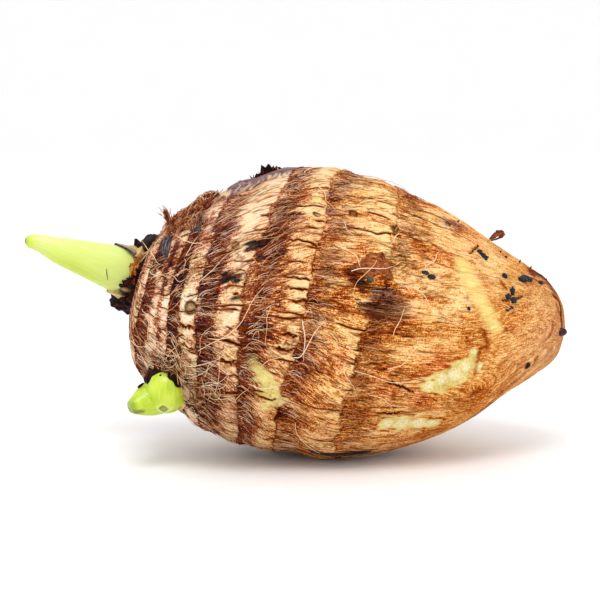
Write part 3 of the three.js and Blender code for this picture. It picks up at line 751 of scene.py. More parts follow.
class Finish:
    """A material that is built up node by node."""

    def __init__(self, name, roughness=0.7, **fixed):
        self.material = bpy.data.materials.new(name)
        self.material.use_nodes = True
        self.tree = self.material.node_tree
        self.shader = self.tree.nodes["Principled BSDF"]
        self.shader.inputs["Roughness"].default_value = roughness
        for socket, value in fixed.items():
            self.shader.inputs[socket.replace("_", " ")].default_value = value

    def node(self, kind, inputs, output=0, **settings):
        made = self.tree.nodes.new(kind)
        for key, value in settings.items():
            setattr(made, key, value)
        for key, value in inputs.items():
            if isinstance(value, bpy.types.NodeSocket):
                self.tree.links.new(value, made.inputs[key])
            else:
                made.inputs[key].default_value = value
        return made.outputs[output]

    def fact(self, name, output="Fac"):
        return self.node("ShaderNodeAttribute", {}, output, attribute_name=name)

    def place(self):
        return self.node("ShaderNodeTexCoord", {}, "Object")

    def stretched(self, vector, by):
        return self.node("ShaderNodeVectorMath", {0: vector, 1: by}, operation="MULTIPLY")

    def noise(self, vector, scale, detail=3.0, roughness=0.55, distortion=0.0):
        inputs = {"Vector": vector, "Scale": scale, "Detail": detail, "Roughness": roughness}
        return self.node("ShaderNodeTexNoise", {**inputs, "Distortion": distortion})

    def sum(self, *terms):
        """Adds sockets and numbers; a pair (socket, factor) is multiplied first."""
        total = 0.0
        for term in terms:
            if isinstance(term, tuple):
                term = self.node("ShaderNodeMath", {0: term[0], 1: term[1]}, operation="MULTIPLY")
            total = self.node("ShaderNodeMath", {0: total, 1: term}, operation="ADD")
        return total

    def times(self, a, b):
        return self.node("ShaderNodeMath", {0: a, 1: b}, operation="MULTIPLY")

    def spread(self, value, low, high, out_low=0.0, out_high=1.0):
        inputs = {"Value": value, "From Min": low, "From Max": high, "To Min": out_low, "To Max": out_high}
        return self.node("ShaderNodeMapRange", inputs)

    def ramp(self, value, stops):
        made = self.tree.nodes.new("ShaderNodeValToRGB")
        self.tree.links.new(value, made.inputs[0])
        elements = made.color_ramp.elements
        while len(elements) < len(stops):
            elements.new(0.5)
        for element, (position, code) in zip(elements, stops):
            element.position = position
            element.color = paint(code)
        return made.outputs[0]

    def mix(self, share, below, above, blend="MIX"):
        values = [paint(v) if isinstance(v, str) else v for v in (below, above)]
        made = self.tree.nodes.new("ShaderNodeMix")
        made.data_type = "RGBA"
        made.blend_type = blend
        for socket, value in zip((made.inputs[0], made.inputs[6], made.inputs[7]), (share, *values)):
            if isinstance(value, bpy.types.NodeSocket):
                self.tree.links.new(value, socket)
            else:
                socket.default_value = value
        return made.outputs[2]

    def colour(self, socket):
        self.tree.links.new(socket, self.shader.inputs["Base Color"])

    def roughness(self, socket):
        self.tree.links.new(socket, self.shader.inputs["Roughness"])

    def bumps(self, height, distance, strength=1.0):
        """Raises the surface by height, from 0 to 1, times distance in millimetres."""
        inputs = {"Height": height, "Distance": distance * MM, "Strength": strength}
        made = self.node("ShaderNodeBump", inputs)
        self.tree.links.new(made, self.shader.inputs["Normal"])


# The cork's colours from fresh to black: near the tip and on the neck, each in two tones.
TIP_CORK = [
    (0.0, "FCE0C4"), (0.18, "F2CAA2"), (0.32, "E4A476"), (0.46, "BC623A"), (0.62, "8A2C20"), (0.8, "501418"),
    (1.0, "14060A"),
]
GREEN_TIP_CORK = [
    (0.0, "F4E0B8"), (0.18, "E2C692"), (0.32, "CA9C64"), (0.46, "9C582E"), (0.62, "72281A"), (0.8, "461214"),
    (1.0, "12060A"),
]
NECK_CORK = [
    (0.0, "FCD898"), (0.16, "EEB970"), (0.32, "DE9846"), (0.47, "C67428"), (0.62, "A44814"), (0.78, "78220A"),
    (1.0, "220804"),
]
RED_NECK_CORK = [
    (0.0, "FCCC96"), (0.16, "EEAA68"), (0.32, "DC8238"), (0.47, "C45A1E"), (0.62, "A03A10"), (0.78, "701A0A"),
    (1.0, "200804"),
]
BASE_DUST = "DCB08A"
# Grey-purple mixed into the dark bands' fibres: a painted sheen.
PAINTED_FIBRE_SHEEN = "8C7078"
PURPLE_STOPS = [(0.1, "B4928C"), (0.4, "7A5458"), (0.7, "42242C"), (1.0, "16080C")]
YELLOW_STOPS = [(0.5, "DCAE5A"), (0.7, "F0D67E"), (0.9, "FFF4A4")]
PEELED_STOPS = [(0.38, "C4AA54"), (0.5, "E2CE7C"), (0.62, "F6EAAC")]
HEART_STOPS = [(0.35, "DCC48E"), (0.5, "F4E8BE"), (0.65, "FFF8DC")]
SCAR_STOPS = [(0.35, "7A5426"), (0.65, "C09A58")]
SCAR_RING = "42240E"
# The palest soot stop is a painted teal glint.
SOOT_AND_GLINT_STOPS = [(0.44, "040304"), (0.58, "141C22"), (0.7, "566670")]
FISSURE = "7A3006"
SPLIT_STOPS = [(0.3, "8A3C0A"), (0.9, "2E0E00")]


def cork_colour(f, wear_and_painted_light, strand, place, ring):
    """Cork from the tip's pinkish tones to the neck's orange ones, with dust on the base and a painted
    grey-purple sheen on the dark fibres.
    """
    hue = f.noise(place, 95, 3, 0.6)
    tip = f.mix(f.spread(hue, 0.45, 0.62), f.ramp(wear_and_painted_light, TIP_CORK), f.ramp(wear_and_painted_light, GREEN_TIP_CORK))
    redness = f.times(f.spread(hue, 0.44, 0.68), f.spread(ring, 9.3, 10.4, 1.0, 0.2))
    neck = f.mix(redness, f.ramp(wear_and_painted_light, NECK_CORK), f.ramp(wear_and_painted_light, RED_NECK_CORK))
    colour = f.mix(f.spread(ring, 5.2, 7.4), tip, neck)
    height = f.node("ShaderNodeSeparateXYZ", {0: place}, 2)
    dust = f.times(f.spread(ring, 10.2, 11.8), f.spread(height, 0.026, 0.046, 0.5, 0.28))
    dust = f.times(dust, f.spread(f.noise(place, 60, 3), 0.3, 0.7, 0.5, 1.0))
    colour = f.mix(dust, colour, BASE_DUST)
    # A painted sheen where the dark fibres rise.
    painted_sheen = f.times(f.spread(wear_and_painted_light, 0.6, 0.8), f.spread(strand, 0.54, 0.64))
    painted_sheen = f.times(painted_sheen, f.spread(ring, 6.0, 7.0, 1.0, 0.1))
    return f.mix(f.times(painted_sheen, 0.45), colour, PAINTED_FIBRE_SHEEN)


def stained(f, colour, wear_and_painted_light, streak, strand, cork, patch, ring):
    """Purple and yellow smears, peeled places, root scars and soot over the cork, with painted glints on the
    soot and painted shade in the eye's pit.
    """
    colour = f.mix(f.times(f.fact("purpled"), 0.7), colour, f.ramp(wear_and_painted_light, PURPLE_STOPS))
    yellow = f.ramp(f.sum(streak, (cork, 0.5)), YELLOW_STOPS)
    colour = f.mix(f.times(f.fact("yellowed"), 0.75), colour, yellow)
    peeled = f.ramp(f.sum((patch, 0.5), (cork, 0.5)), PEELED_STOPS)
    pale_heart = f.times(f.fact("peel_heart"), f.spread(ring, 7.8, 8.8, 0.15, 0.8))
    peeled = f.mix(pale_heart, peeled, f.ramp(cork, HEART_STOPS))
    colour = f.mix(f.fact("peeled"), colour, peeled)
    colour = f.mix(f.times(f.fact("root_scar"), 0.75), colour, f.ramp(cork, SCAR_STOPS))
    colour = f.mix(f.fact("scar_ring"), colour, SCAR_RING)
    # This mask also blackens the eye's pit as painted shade.
    soot_and_pit_shade = f.times(f.fact("sooty_and_pit_shade"), f.spread(f.sum(strand, (cork, 0.6)), 0.66, 0.95, 1.0, 0.9))
    return f.mix(soot_and_pit_shade, colour, f.ramp(strand, SOOT_AND_GLINT_STOPS))


def fissures(f, grain, patch, ring):
    """Fine lengthwise splits, where the skin is neither peeled nor smeared with yellow."""
    split = f.noise(f.stretched(grain, (1, 1, 0.3)), 0.5, 2, 0.6, 0.8)
    split = f.node("ShaderNodeMath", {0: f.sum(split, -0.5)}, operation="ABSOLUTE")
    split = f.times(f.spread(split, 0.006, 0.05, 1.0, 0.0), f.spread(patch, 0.44, 0.52))
    split = f.times(split, f.spread(ring, 8.5, 10.0, 0.8, 0.3))
    return f.times(split, f.spread(f.sum(f.fact("peeled"), f.fact("yellowed")), 0.0, 0.4, 1.0, 0.0))


def corm_finish():
    f = Finish("corm_skin", roughness=0.8, Specular_IOR_Level=0.0)
    grain = f.fact("grain", "Vector")
    place = f.place()
    ring = f.fact("ring")
    weathered_and_painted_light = f.fact("weathered_and_painted_light")
    streak = f.noise(f.stretched(grain, (1, 1, 0.22)), 1.3, 4, 0.7, 0.4)
    strand = f.noise(f.stretched(grain, (1, 1, 0.16)), 3.6, 3, 0.7, 0.3)
    cork = f.noise(place, 1500, 4, 0.75)
    grit = f.noise(place, 3600, 2, 0.6)
    patch = f.noise(place, 170, 3, 0.55)
    fine = f.sum((strand, 2.8), (cork, 1.5), (grit, 1.7), (streak, 0.85), -3.425)
    clean = f.times(f.spread(weathered_and_painted_light, 0.12, 0.42, 0.52, 0.0), f.spread(ring, 6.2, 7.6, 1.0, 0.0))
    rough = f.times(f.spread(ring, 7.6, 9.6, 1.0, 0.64), f.sum(1.0, (clean, -1.0)))
    wear_and_painted_light = f.sum(weathered_and_painted_light, (f.sum(patch, -0.5), 0.35), f.times(fine, rough))
    colour = cork_colour(f, wear_and_painted_light, strand, place, ring)
    colour = stained(f, colour, wear_and_painted_light, streak, strand, cork, patch, ring)
    fissure = fissures(f, grain, patch, ring)
    colour = f.mix(fissure, colour, FISSURE)
    # The split colour also darkens the neck's fold as painted shade.
    split = f.fact("cracked_and_fold_shade")
    f.colour(f.mix(f.spread(split, 0.0, 0.5), colour, f.ramp(split, SPLIT_STOPS)))
    f.roughness(f.spread(wear_and_painted_light, 0.2, 0.9, 0.85, 0.6))
    f.bumps(f.sum((streak, 0.5), (strand, 0.7), (cork, 0.9), (grit, 0.3), (fissure, -0.4)), 0.38, 0.9)
    return f.material


def fibre_finish(name, stops):
    f = Finish(name, roughness=0.75, Specular_IOR_Level=0.0)
    shade = f.sum(f.fact("tint"), (f.sum(f.noise(f.place(), 400, 2), -0.5), 0.5))
    f.colour(f.ramp(shade, stops))
    return f.material


ALONG_GRAIN = (1, 1, 0.12)
LEAF_STOPS = [(0.0, "DEE8A6"), (0.35, "CEE066"), (0.6, "C2D636"), (0.85, "98B820"), (1.0, "5E7C1C")]
BRUISE_STOPS = [(0.35, "4A3418"), (0.65, "8E7A35")]
CREAM_STOPS = [(0.3, "8A6A2C"), (0.45, "C8A858"), (0.6, "E8D48E"), (0.8, "F4EAB4")]
RUSTY_STOPS = [(0.3, "2A0E06"), (0.45, "80380E"), (0.6, "C87828"), (0.75, "E8B468")]
# Near black, for the sheath's front and lower front.
SHEATH_BLACK = "0E0808"


def shoot_finish():
    wax = {"Specular_IOR_Level": 0.45, "Subsurface_Weight": 0.25, "Subsurface_Scale": 0.003}
    f = Finish("shoot", roughness=0.27, **wax)
    vein = f.noise(f.stretched(f.fact("grain", "Vector"), ALONG_GRAIN), 2.4, 3, 0.5)
    colour = f.ramp(f.sum(f.fact("greened"), (f.sum(vein, -0.5), 0.35)), LEAF_STOPS)
    f.colour(f.mix(f.fact("browned"), colour, f.ramp(f.noise(f.place(), 900, 3), BRUISE_STOPS)))
    f.bumps(vein, 0.12, 0.5)
    return f.material


def scale_streaks(f, scale=1.6):
    """The fibres and specks of a dry scale, and the two together."""
    fibre = f.noise(f.stretched(f.fact("grain", "Vector"), ALONG_GRAIN), scale, 4, 0.65)
    speck = f.noise(f.place(), 1300, 3, 0.6)
    return fibre, speck, f.sum((fibre, 0.75), (speck, 0.25))


def scale_finish(name, stops, roughness, scale=1.6, bump_mm=0.3, rim=None, specular=0.3):
    """A streaked scale. Its rim, where it has one, takes a colour of its own."""
    f = Finish(name, roughness=roughness, Specular_IOR_Level=specular)
    fibre, speck, streaks = scale_streaks(f, scale)
    colour = f.ramp(streaks, stops)
    if rim:
        colour = f.mix(f.fact("rim"), colour, rim)
    f.colour(colour)
    f.bumps(f.sum(fibre, (speck, 0.4)), bump_mm, 0.9)
    return f.material


def sheath_finish():
    f = Finish("sheath", roughness=0.5, Specular_IOR_Level=0.3)
    _, _, streaks = scale_streaks(f)
    colour = f.mix(f.fact("rusty"), f.ramp(streaks, CREAM_STOPS), f.ramp(streaks, RUSTY_STOPS))
    f.colour(f.mix(f.fact("blackened"), colour, SHEATH_BLACK))
    f.bumps(streaks, 0.4, 0.9)
    return f.material


# The colours of fibres by their tint.
FIBRES = {
    "fibre": [(0.0, "260806"), (0.3, "7A2812"), (0.55, "C47240"), (0.8, "F6C698"), (1.0, "FFEED6")],
    "rootlet": [(0.0, "B87034"), (0.3, "E8AC6E"), (0.6, "FFDAA8"), (1.0, "FFECD0")],
    "dry_fibre": [(0.0, "3E160C"), (0.35, "A05030"), (0.7, "DA8C5A"), (1.0, "F8C896")],
    "dark_fibre": [(0.0, "0C0404"), (0.4, "42180E"), (0.75, "9C5832"), (1.0, "E0AA76")],
    # The sheen fibres' pale tints are painted glints on dark fibres.
    "fibre_with_painted_sheen": [(0.0, "0E0806"), (0.45, "3A2C2A"), (0.75, "8E7C76"), (1.0, "DCCCC2")],
}
# Scales, husks, beads and soil: their colours by streak, how rough they are, and what else is their own.
SCALES = [
    ("dark_husk", [(0.34, "040203"), (0.5, "1A0A08"), (0.6, "4E1C10"), (0.72, "8E4828")], 0.6,
     {"specular": 0.08}),
    ("straw", [(0.3, "8A5E2A"), (0.5, "D0A468"), (0.7, "F4DCA4")], 0.6, {}),
    ("dry_leaf", [(0.3, "260C08"), (0.5, "6A2E1C"), (0.7, "B06E46")], 0.75, {"specular": 0.08}),
    # black_scale's two palest stops are partly a brown torn edge and partly painted glints.
    ("black_scale", [(0.4, "020202"), (0.55, "140806"), (0.66, "5A3426"), (0.78, "C0A494")], 0.2,
     {"scale": 3.0, "bump_mm": 0.5}),
    ("root_bead", [(0.3, "180404"), (0.6, "3A0C0A"), (0.8, "6E2620")], 0.15,
     {"bump_mm": 0.05, "specular": 0.25}),
    # The soil's palest stop is a painted teal glint.
    ("soil", [(0.35, "030508"), (0.55, "0C141C"), (0.75, "36444E")], 0.3, {}),
    ("eye_bead", [(0.3, "16140C"), (0.55, "3E3A2A"), (0.75, "8A866C")], 0.12, {"bump_mm": 0.05}),
    ("pale_bud", [(0.3, "6A6A3C"), (0.6, "B4AC74"), (0.8, "DED49C")], 0.4, {}),
    ("shell", [(0.3, "5A4440"), (0.5, "A08478"), (0.7, "DCC4B0")], 0.4, {"rim": "221C1A"}),
    ("rust", [(0.4, "220A04"), (0.5, "7A3A12"), (0.62, "CC8636")], 0.6, {"specular": 0.1}),
    ("eye_lid", [(0.4, "3A1408"), (0.47, "8A4020"), (0.55, "B46A3C"), (0.64, "E8A876")], 0.7,
     {"scale": 5.0, "bump_mm": 0.7, "specular": 0.0}),
    ("blue_scale", [(0.36, "1C1418"), (0.5, "463A40"), (0.64, "7C7680")], 0.5,
     {"scale": 3.0, "specular": 0.1}),
    ("mauve_scale", [(0.36, "24141A"), (0.45, "583A40"), (0.54, "8E6E72"), (0.66, "C4A69E")], 0.6,
     {"scale": 2.2, "rim": "E2C09A", "specular": 0.05}),
]


def fibre_and_scale_finishes():
    made = {name: fibre_finish(name, stops) for name, stops in FIBRES.items()}
    for name, stops, roughness, own in SCALES:
        made[name] = scale_finish(name, stops, roughness, **own)
    return made


# ---- pieces ----


def dress(piece, finish, slot, *nodes, **facts):
    """Gives a piece its finish and what that reads and its body, and hides the nodes that it stands for. Its
    slot is not used.
    """
    keep_facts(piece, facts)
    piece.data.materials.clear()
    piece.data.materials.append(finish)
    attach(piece, "root")
    if nodes:
        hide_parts(*nodes)
    return piece


ROW_LENGTH = 0.5  # how far apart the rows of the corm's mesh are
ROW_TURNS = np.array([0.25, 0.25, 0.6, 0.6])  # where that is measured, on top and below
ROW_ENDS = (0.02, 0.985)  # the first row past a torn edge and the last before the next
# How far the inner ends of the corm's parts lie below the skin, and how far they reach over.
END_DEPTH = -9.0
FIRST_LIP = -1.6
LAST_LIP = -1.4
LIP_REACH = 0.05
# The corm's parts: name, first and last ring, and columns.
CORM_PARTS = [("corm_tip", 0, 6, 750), ("corm_middle", 6, 8, 960), ("corm_neck", 8, RINGS, 620)]


def skin_rows(first, last):
    """Ring values between two rings, one row on each torn edge and one just before it."""
    rows = []
    for ring in range(first, last):
        ends = plain_skin(np.array([ring, ring + 1.0] * 2), ROW_TURNS)
        length = (np.linalg.norm(ends[1] - ends[0]) + np.linalg.norm(ends[3] - ends[2])) / 2
        rows += [ring, *(ring + np.linspace(*ROW_ENDS, max(4, round(length / ROW_LENGTH))))]
    return rows


def corm_part(name, first, last, columns, finish):
    """A closed part of the corm between two rings. Its inner ends lie inside its neighbours."""
    levels = [(ring, 0.0) for ring in skin_rows(first, last)]
    if first > 0:
        levels = [(first, END_DEPTH), (first, FIRST_LIP), *levels]
    if last < RINGS:
        levels = [*levels, (last + LIP_REACH, LAST_LIP), (last, END_DEPTH)]
    else:
        levels.append((last, 0.0))
    mesh, turn, row = ball(columns, len(levels) - 1)
    ring, lift = np.array(levels)[row].T
    point, facts = surface(ring, turn, lift)
    pole = (row == 0) | (row == len(levels) - 1)
    point[pole] = spline(MIDDLES, ring[pole] / RINGS)
    point[:, 2] = np.maximum(point[:, 2], 0)
    dress(shaped(name, mesh, point), finish, "corm_skin", "corm", **facts)


def make_corm(finish):
    for part in CORM_PARTS:
        corm_part(*part, finish)


FIBRE_POINTS = 6
FIBRE_EDGES = [2, 3, 4, 5, 6, 7, 8]  # the torn edges that they grow from
FIBRE_SHARES = [0.04, 0.08, 0.11, 0.19, 0.24, 0.21, 0.13]
FIBRE_LENGTHS = np.array([1, 1, 1, 1.0, 1.1, 1.1, 1, 0.9, 0.7])  # by ring, against the usual ones
FIBRE_REACH = (0.13, 0.42)
FIBRE_RADII = (0.04, 0.085)
BARE_ZONE = 5  # where the crest keeps the fibres off
BARE_TURN = 0.285
BARE_WIDTH = 0.04


def band_fibres(name, count, turns, seed, finish):
    """Fibres combed over the weathered bands like lashes, from the torn edge on."""
    rng = np.random.default_rng(seed)
    zone = rng.choice(FIBRE_EDGES, count, p=FIBRE_SHARES)
    turn = rng.uniform(*turns, count)
    start = zone + 0.01 + 0.25 * rng.random(count) ** 1.6
    reach = rng.uniform(*FIBRE_REACH, count) * FIBRE_LENGTHS[zone]
    share = np.linspace(0, 1, FIBRE_POINTS)
    ring = start[:, None] + reach[:, None] * share
    aside = lean(zone, turn) + 0.018 * noise(turn, zone * 1.3, 60, seed) + rng.normal(0, 0.008, count)
    curl = rng.normal(0.012, 0.01, count)
    run = ring - zone[:, None]
    path_turn = turn[:, None] + aside[:, None] * run + curl[:, None] * share * (share - 1)
    lift = 0.02 + rng.uniform(0.05, 0.45, count)[:, None] * np.sin(np.pi * (0.1 + 0.8 * share)) ** 1.5
    tint = rng.random(count) * np.where(zone > 7, 0.8, 1.0)
    thick = rng.uniform(*FIBRE_RADII, count)
    hairy = (zone != BARE_ZONE) | (np.abs(turn - BARE_TURN) > BARE_WIDTH)
    piece = strands(name, bed(ring, path_turn, lift)[hairy], thick[hairy], tint[hairy])
    dress(piece, finish, "corm_skin")


# Long rootlets that lie over the front, each by the places that it passes.
FRONT_ROOTLETS = [
    [(5.07, 0.532), (5.4, 0.52), (5.73, 0.509), (5.94, 0.496), (6.04, 0.472), (6.15, 0.458)],
    [(7.01, 0.528), (7.14, 0.52), (7.28, 0.496), (7.37, 0.482)],
    [(6.98, 0.487), (7.07, 0.508), (7.19, 0.531)],
    [(7.88, 0.549), (8.01, 0.556), (8.07, 0.57), (8.06, 0.584), (8.12, 0.605)],
    [(7.79, 0.402), (7.71, 0.427), (7.65, 0.451)],
    [(7.51, 0.427), (7.76, 0.419), (8.08, 0.408)],
    [(8.08, 0.365), (7.94, 0.388)],
    [(8.72, 0.38), (8.64, 0.396), (8.55, 0.41)],
    [(3.15, 0.34), (3.86, 0.379), (4.64, 0.395), (5.01, 0.402)],
    [(2.54, 0.383), (2.9, 0.4), (3.32, 0.414)],
    [(10.2, 0.418), (10.38, 0.4275), (10.62, 0.4285)],
    [(8.61, 0.405), (8.66, 0.39), (8.74, 0.371)],
]
ROOTLET_POINTS = 14
ROOTLETS = 190
LOW_ROOTLETS = 32  # of these, how many cross below in front
# The rings and the turns between which a rootlet starts.
ROOTLET_ZONE = ((2.6, 8.8), (0, 1))
LOW_ROOTLET_ZONE = ((3.0, 6.4), (0.49, 0.63))
ROOTLET_RADII = (0.06, 0.1)
FRONT_RADIUS = 0.11
ROOTLET_LIMITS = (2.2, 9.4)  # the rings between which they stay


def through(places):
    return spline(np.array(places), np.linspace(0, 1, ROOTLET_POINTS))


def rootlets(finish):
    """Long fine roots that wander over the skin."""
    rng = np.random.default_rng(71)
    routes = [through(places) for places in FRONT_ROOTLETS]
    for number in range(ROOTLETS):
        rings, turns = LOW_ROOTLET_ZONE if number >= ROOTLETS - LOW_ROOTLETS else ROOTLET_ZONE
        ring, turn = rng.uniform(*rings), rng.uniform(*turns)
        heading = rng.uniform(-1.2, 1.2)
        length = rng.uniform(0.3, 1.3)
        places = [(ring, turn)]
        for _ in range(3):
            heading += rng.normal(0, 0.3)
            ring += length / 3 * math.cos(heading)
            turn += length / 3 * math.sin(heading) * 0.055
            places.append((np.clip(ring, *ROOTLET_LIMITS), turn))
        routes.append(through(places))
    routes = np.array(routes)
    sway = rng.normal(0, 1, (2, len(routes), 3, 1))
    beats, weights = np.array([(1, 1), (2, 2), (3, 2)]).T[..., None]
    bends = np.sin(np.linspace(0, 1, ROOTLET_POINTS) * np.pi * beats) / weights
    routes[..., 0] += 0.035 * (sway[0] * bends).sum(1)
    routes[..., 1] += 0.002 * (sway[1] * bends).sum(1)
    high = rng.uniform(0.2, 0.9, len(routes))[:, None] * np.sin(np.linspace(0.1, np.pi - 0.1, ROOTLET_POINTS))
    thick = rng.uniform(*ROOTLET_RADII, len(routes))
    thick[:len(FRONT_ROOTLETS)] = FRONT_RADIUS
    paths = bed(routes[..., 0], routes[..., 1], 0.15 + high)
    dress(strands("rootlets", paths, thick, rng.random(len(routes)), 5), finish, "corm_skin")


SIDE_HEART = (4.15, 0.6)  # where the side shoot stands on the skin
RING_PITCH = 8.0  # how long a ring and a turn are there
TURN_PITCH = 240.0
TANGLE_REACH = (5.8, 9.6)  # how far round the shoot the fibres begin
TANGLE_LENGTHS = (3.0, 9.0)
TANGLE_RADII = (0.06, 0.11)


def side_fibres(name, count, angles, seed, finish):
    """A tangle of fibres that curl round the side shoot. Angle 0 is towards the neck, a quarter turn up."""
    rng = np.random.default_rng(seed)
    share = np.linspace(0, 1, 8)
    angle = rng.uniform(*angles, count)[:, None]
    reach = rng.uniform(*TANGLE_REACH, count)[:, None]
    side = rng.choice([-1.3, 1.3], count)[:, None]
    heading = angle + side + rng.normal(0, 0.5, count)[:, None] * (1 + 2 * share)
    length = rng.uniform(*TANGLE_LENGTHS, count)[:, None] * share
    ring = SIDE_HEART[0] + (reach * np.cos(angle) + length * np.cos(heading)) / RING_PITCH
    turn = SIDE_HEART[1] - (reach * np.sin(angle) + length * np.sin(heading)) / TURN_PITCH
    high = rng.uniform(0.2, 1.3, count)[:, None] * np.sin(0.2 + (np.pi - 0.3) * share)
    paths = bed(ring, turn, 0.1 + high)
    dress(strands(name, paths, rng.uniform(*TANGLE_RADII, count), rng.random(count)), finish, "corm_skin")


MAIN_PATH = [
    (-41.5, 10.5, 47.8), (-47.0, 8.3, 50.2), (-51.8, 6.5, 52.2), (-60.3, 4.0, 55.3),
    (-65.9, 2.2, 57.3), (-70.9, 0.6, 59.5), (-74.0, -0.4, 60.3), (-75.2, -0.7, 60.5),
]
MAIN_RADII = [6.5, 6.7, 6.35, 4.85, 3.75, 2.5, 1.75, 0.6]
MAIN_DEPTH = 0.92
MAIN_LENGTH = 40  # of the grain along the shoot and its sheath
LEAF_EDGE_TURN = 0.64  # where the rolled leaf's outer edge starts, and how far it winds
LEAF_EDGE_WIND = 0.1
LEAF_WALL = 0.35
SHEATH_WALL = 1.1
SHEATH_LIP = 0.19  # how far the sheath and the husk reach along the shoot
SHEATH_FOOT = 0.22  # where their hidden ends close inside them
HUSK_WALL = 2.6
HUSK_LIP = 0.155
HUSK_FOOT = 0.13


def make_main_shoot(finish):
    thick = taper(MAIN_RADII)

    def radius(t, turn):
        rolled = (turn - LEAF_EDGE_TURN - LEAF_EDGE_WIND * t) % 1
        return thick(t) + LEAF_WALL * (1 - t) * (0.5 - rolled) + 0.05 * noise(turn, t * 2, 40, 51)

    piece, t, turn = stalk("main_shoot_leaf", MAIN_PATH, radius, depth=MAIN_DEPTH, columns=96, rows=120)
    below = 0.5 - 0.5 * np.sin(turn * 2 * np.pi)
    green = 0.2 + 0.3 * below * smooth(t, 0.2, 0.5) * (1 - smooth(t, 0.5, 0.8)) + 0.6 * smooth(t, 0.72, 1.0)
    dress(
        piece, finish, "shoot", "main_shoot",
        greened=green + 0.05 * noise(turn, t * 6, 12, 52),
        browned=smooth(t + 0.02 * noise(turn, t * 9, 9, 53), 0.965, 0.99),
        grain=round_grain(t, turn, MAIN_LENGTH, 36),
    )


def make_main_sheath(finish):
    thick = taper(MAIN_RADII)

    def lip(turn):
        angle = turn * 2 * np.pi
        torn_edge = 0.006 * np.sin(9 * angle) + 0.01 * noise(turn, 0.5, 40, 54)
        return SHEATH_LIP + 0.1 * bump(angle, 1.8, 0.6) + 0.08 * bump(angle, 4.75, 0.7) + torn_edge

    def radius(t, turn):
        return thick(t) + SHEATH_WALL * (1 - 0.5 * smooth(t, 0.15, 0.3)) + 0.25 * noise(turn, t * 30, 26, 55)

    piece, t, turn = stalk("main_sheath_base", MAIN_PATH, radius, lip, SHEATH_FOOT, MAIN_DEPTH, 128, 24)
    angle = turn * 2 * np.pi
    ragged = 0.03 * noise(turn, t * 20, 30, 68)
    front_above = smooth(np.cos(angle - 0.2), 0.5, 0.85)
    dress(
        piece, finish, "sheath", "main_sheath",
        rusty=front_above + (1 - front_above) * smooth(0.16 + ragged - t, 0, 0.04),
        # The sheath is near black on its front and lower front.
        blackened=smooth(np.cos(angle + 0.45) + 6 * ragged, 0.82, 0.95),
        grain=round_grain(t, turn, MAIN_LENGTH, 44),
    )


def make_main_husk(finish):
    thick = taper(MAIN_RADII)

    def lip(turn):
        angle = turn * 2 * np.pi
        frayed = layers(turn, 0.5, (0.03, 1, 26, 56), (0.03, 1, 80, 57))
        return HUSK_LIP + 0.015 * np.sin(5 * angle + 1) + frayed

    def radius(t, turn):
        angle = turn * 2 * np.pi
        rag = 2.4 * bump(angle, 4.35, 0.45)
        return thick(t) + HUSK_WALL + rag + 1.2 * t * np.sin(8 * angle) + 0.6 * noise(turn, t * 40, 48, 57)

    piece, t, turn = stalk("main_husk_rim", MAIN_PATH, radius, lip, HUSK_FOOT, MAIN_DEPTH, 160, 24)
    dress(piece, finish, "dark_husk", "main_husk", grain=round_grain(t, turn, MAIN_LENGTH, 60))


# Scales on the main shoot: name, finish, how arched and how torn. Then the places along the middle:
# the share of the shoot's length, the angle round it, the half width there and how high above the leaf.
SHOOT_SCALES = [
    ("shell_scale", "shell", 0.3, 0.2, [
        (0.31, 1.57, 0.15, 0.15), (0.265, 1.26, 0.8, 0.6), (0.222, 0.98, 1.1, 1.15), (0.187, 0.74, 0.8, 1.4),
    ]),
    ("straw_knob", "straw", 0.8, 0.6, [
        (0.19, 0.66, 0.8, 1.4), (0.17, 0.86, 1.3, 2.2), (0.16, 1.08, 0.9, 2.4),
    ]),
    ("rusty_strip", "rust", 0.4, 1.0, [
        (0.207, 0.4, 0.4, 1.1), (0.198, 0.12, 0.65, 1.3), (0.185, -0.12, 0.3, 1.3),
    ]),
    ("rusty_clump", "rust", 0.6, 0.9, [
        (0.17, 0.5, 0.6, 1.9), (0.172, 0.25, 1.0, 2.2), (0.168, 0.0, 0.6, 2.0),
    ]),
    ("black_patch", "dark_husk", 0.2, 0.9, [
        (0.23, -0.64, 0.4, 0.8), (0.2, -0.38, 1.2, 1.0), (0.172, -0.1, 0.8, 1.1),
    ]),
    ("leaf_nick", "dark_husk", 0.0, 0.2, [
        (0.328, -0.1, 0.06, -0.25), (0.318, -0.35, 0.13, -0.25), (0.305, -0.62, 0.05, -0.25),
    ]),
    ("leaf_edge", "straw", 0.0, 0.3, [
        (0.27, -1.41, 0.2, 0.05), (0.19, -1.08, 0.25, 0.7), (0.1, -0.86, 0.2, 1.6),
    ]),
]
TONGUE = {"at": (-51.9, 5.8, 45.5), "radii": (1.6, 0.8, 0.8)}


def make_shoot_scales(finishes):
    for number, (name, finish, arch, torn, places) in enumerate(SHOOT_SCALES):
        t, angle, widths, lifts = np.array(places).T
        line, out = round_place(MAIN_PATH, t, angle, taper(MAIN_RADII)(t) + lifts, MAIN_DEPTH)
        dress(flake(name, line, out, widths, 0.4, arch, torn, 100 + 3 * number), finishes[finish], "sheath")
    tongue, t, turn = lump("sheath_tongue", columns=24, rows=16, **TONGUE)
    dress(tongue, finishes["pale_bud"], "sheath", grain=round_grain(t, turn, 3, 6))


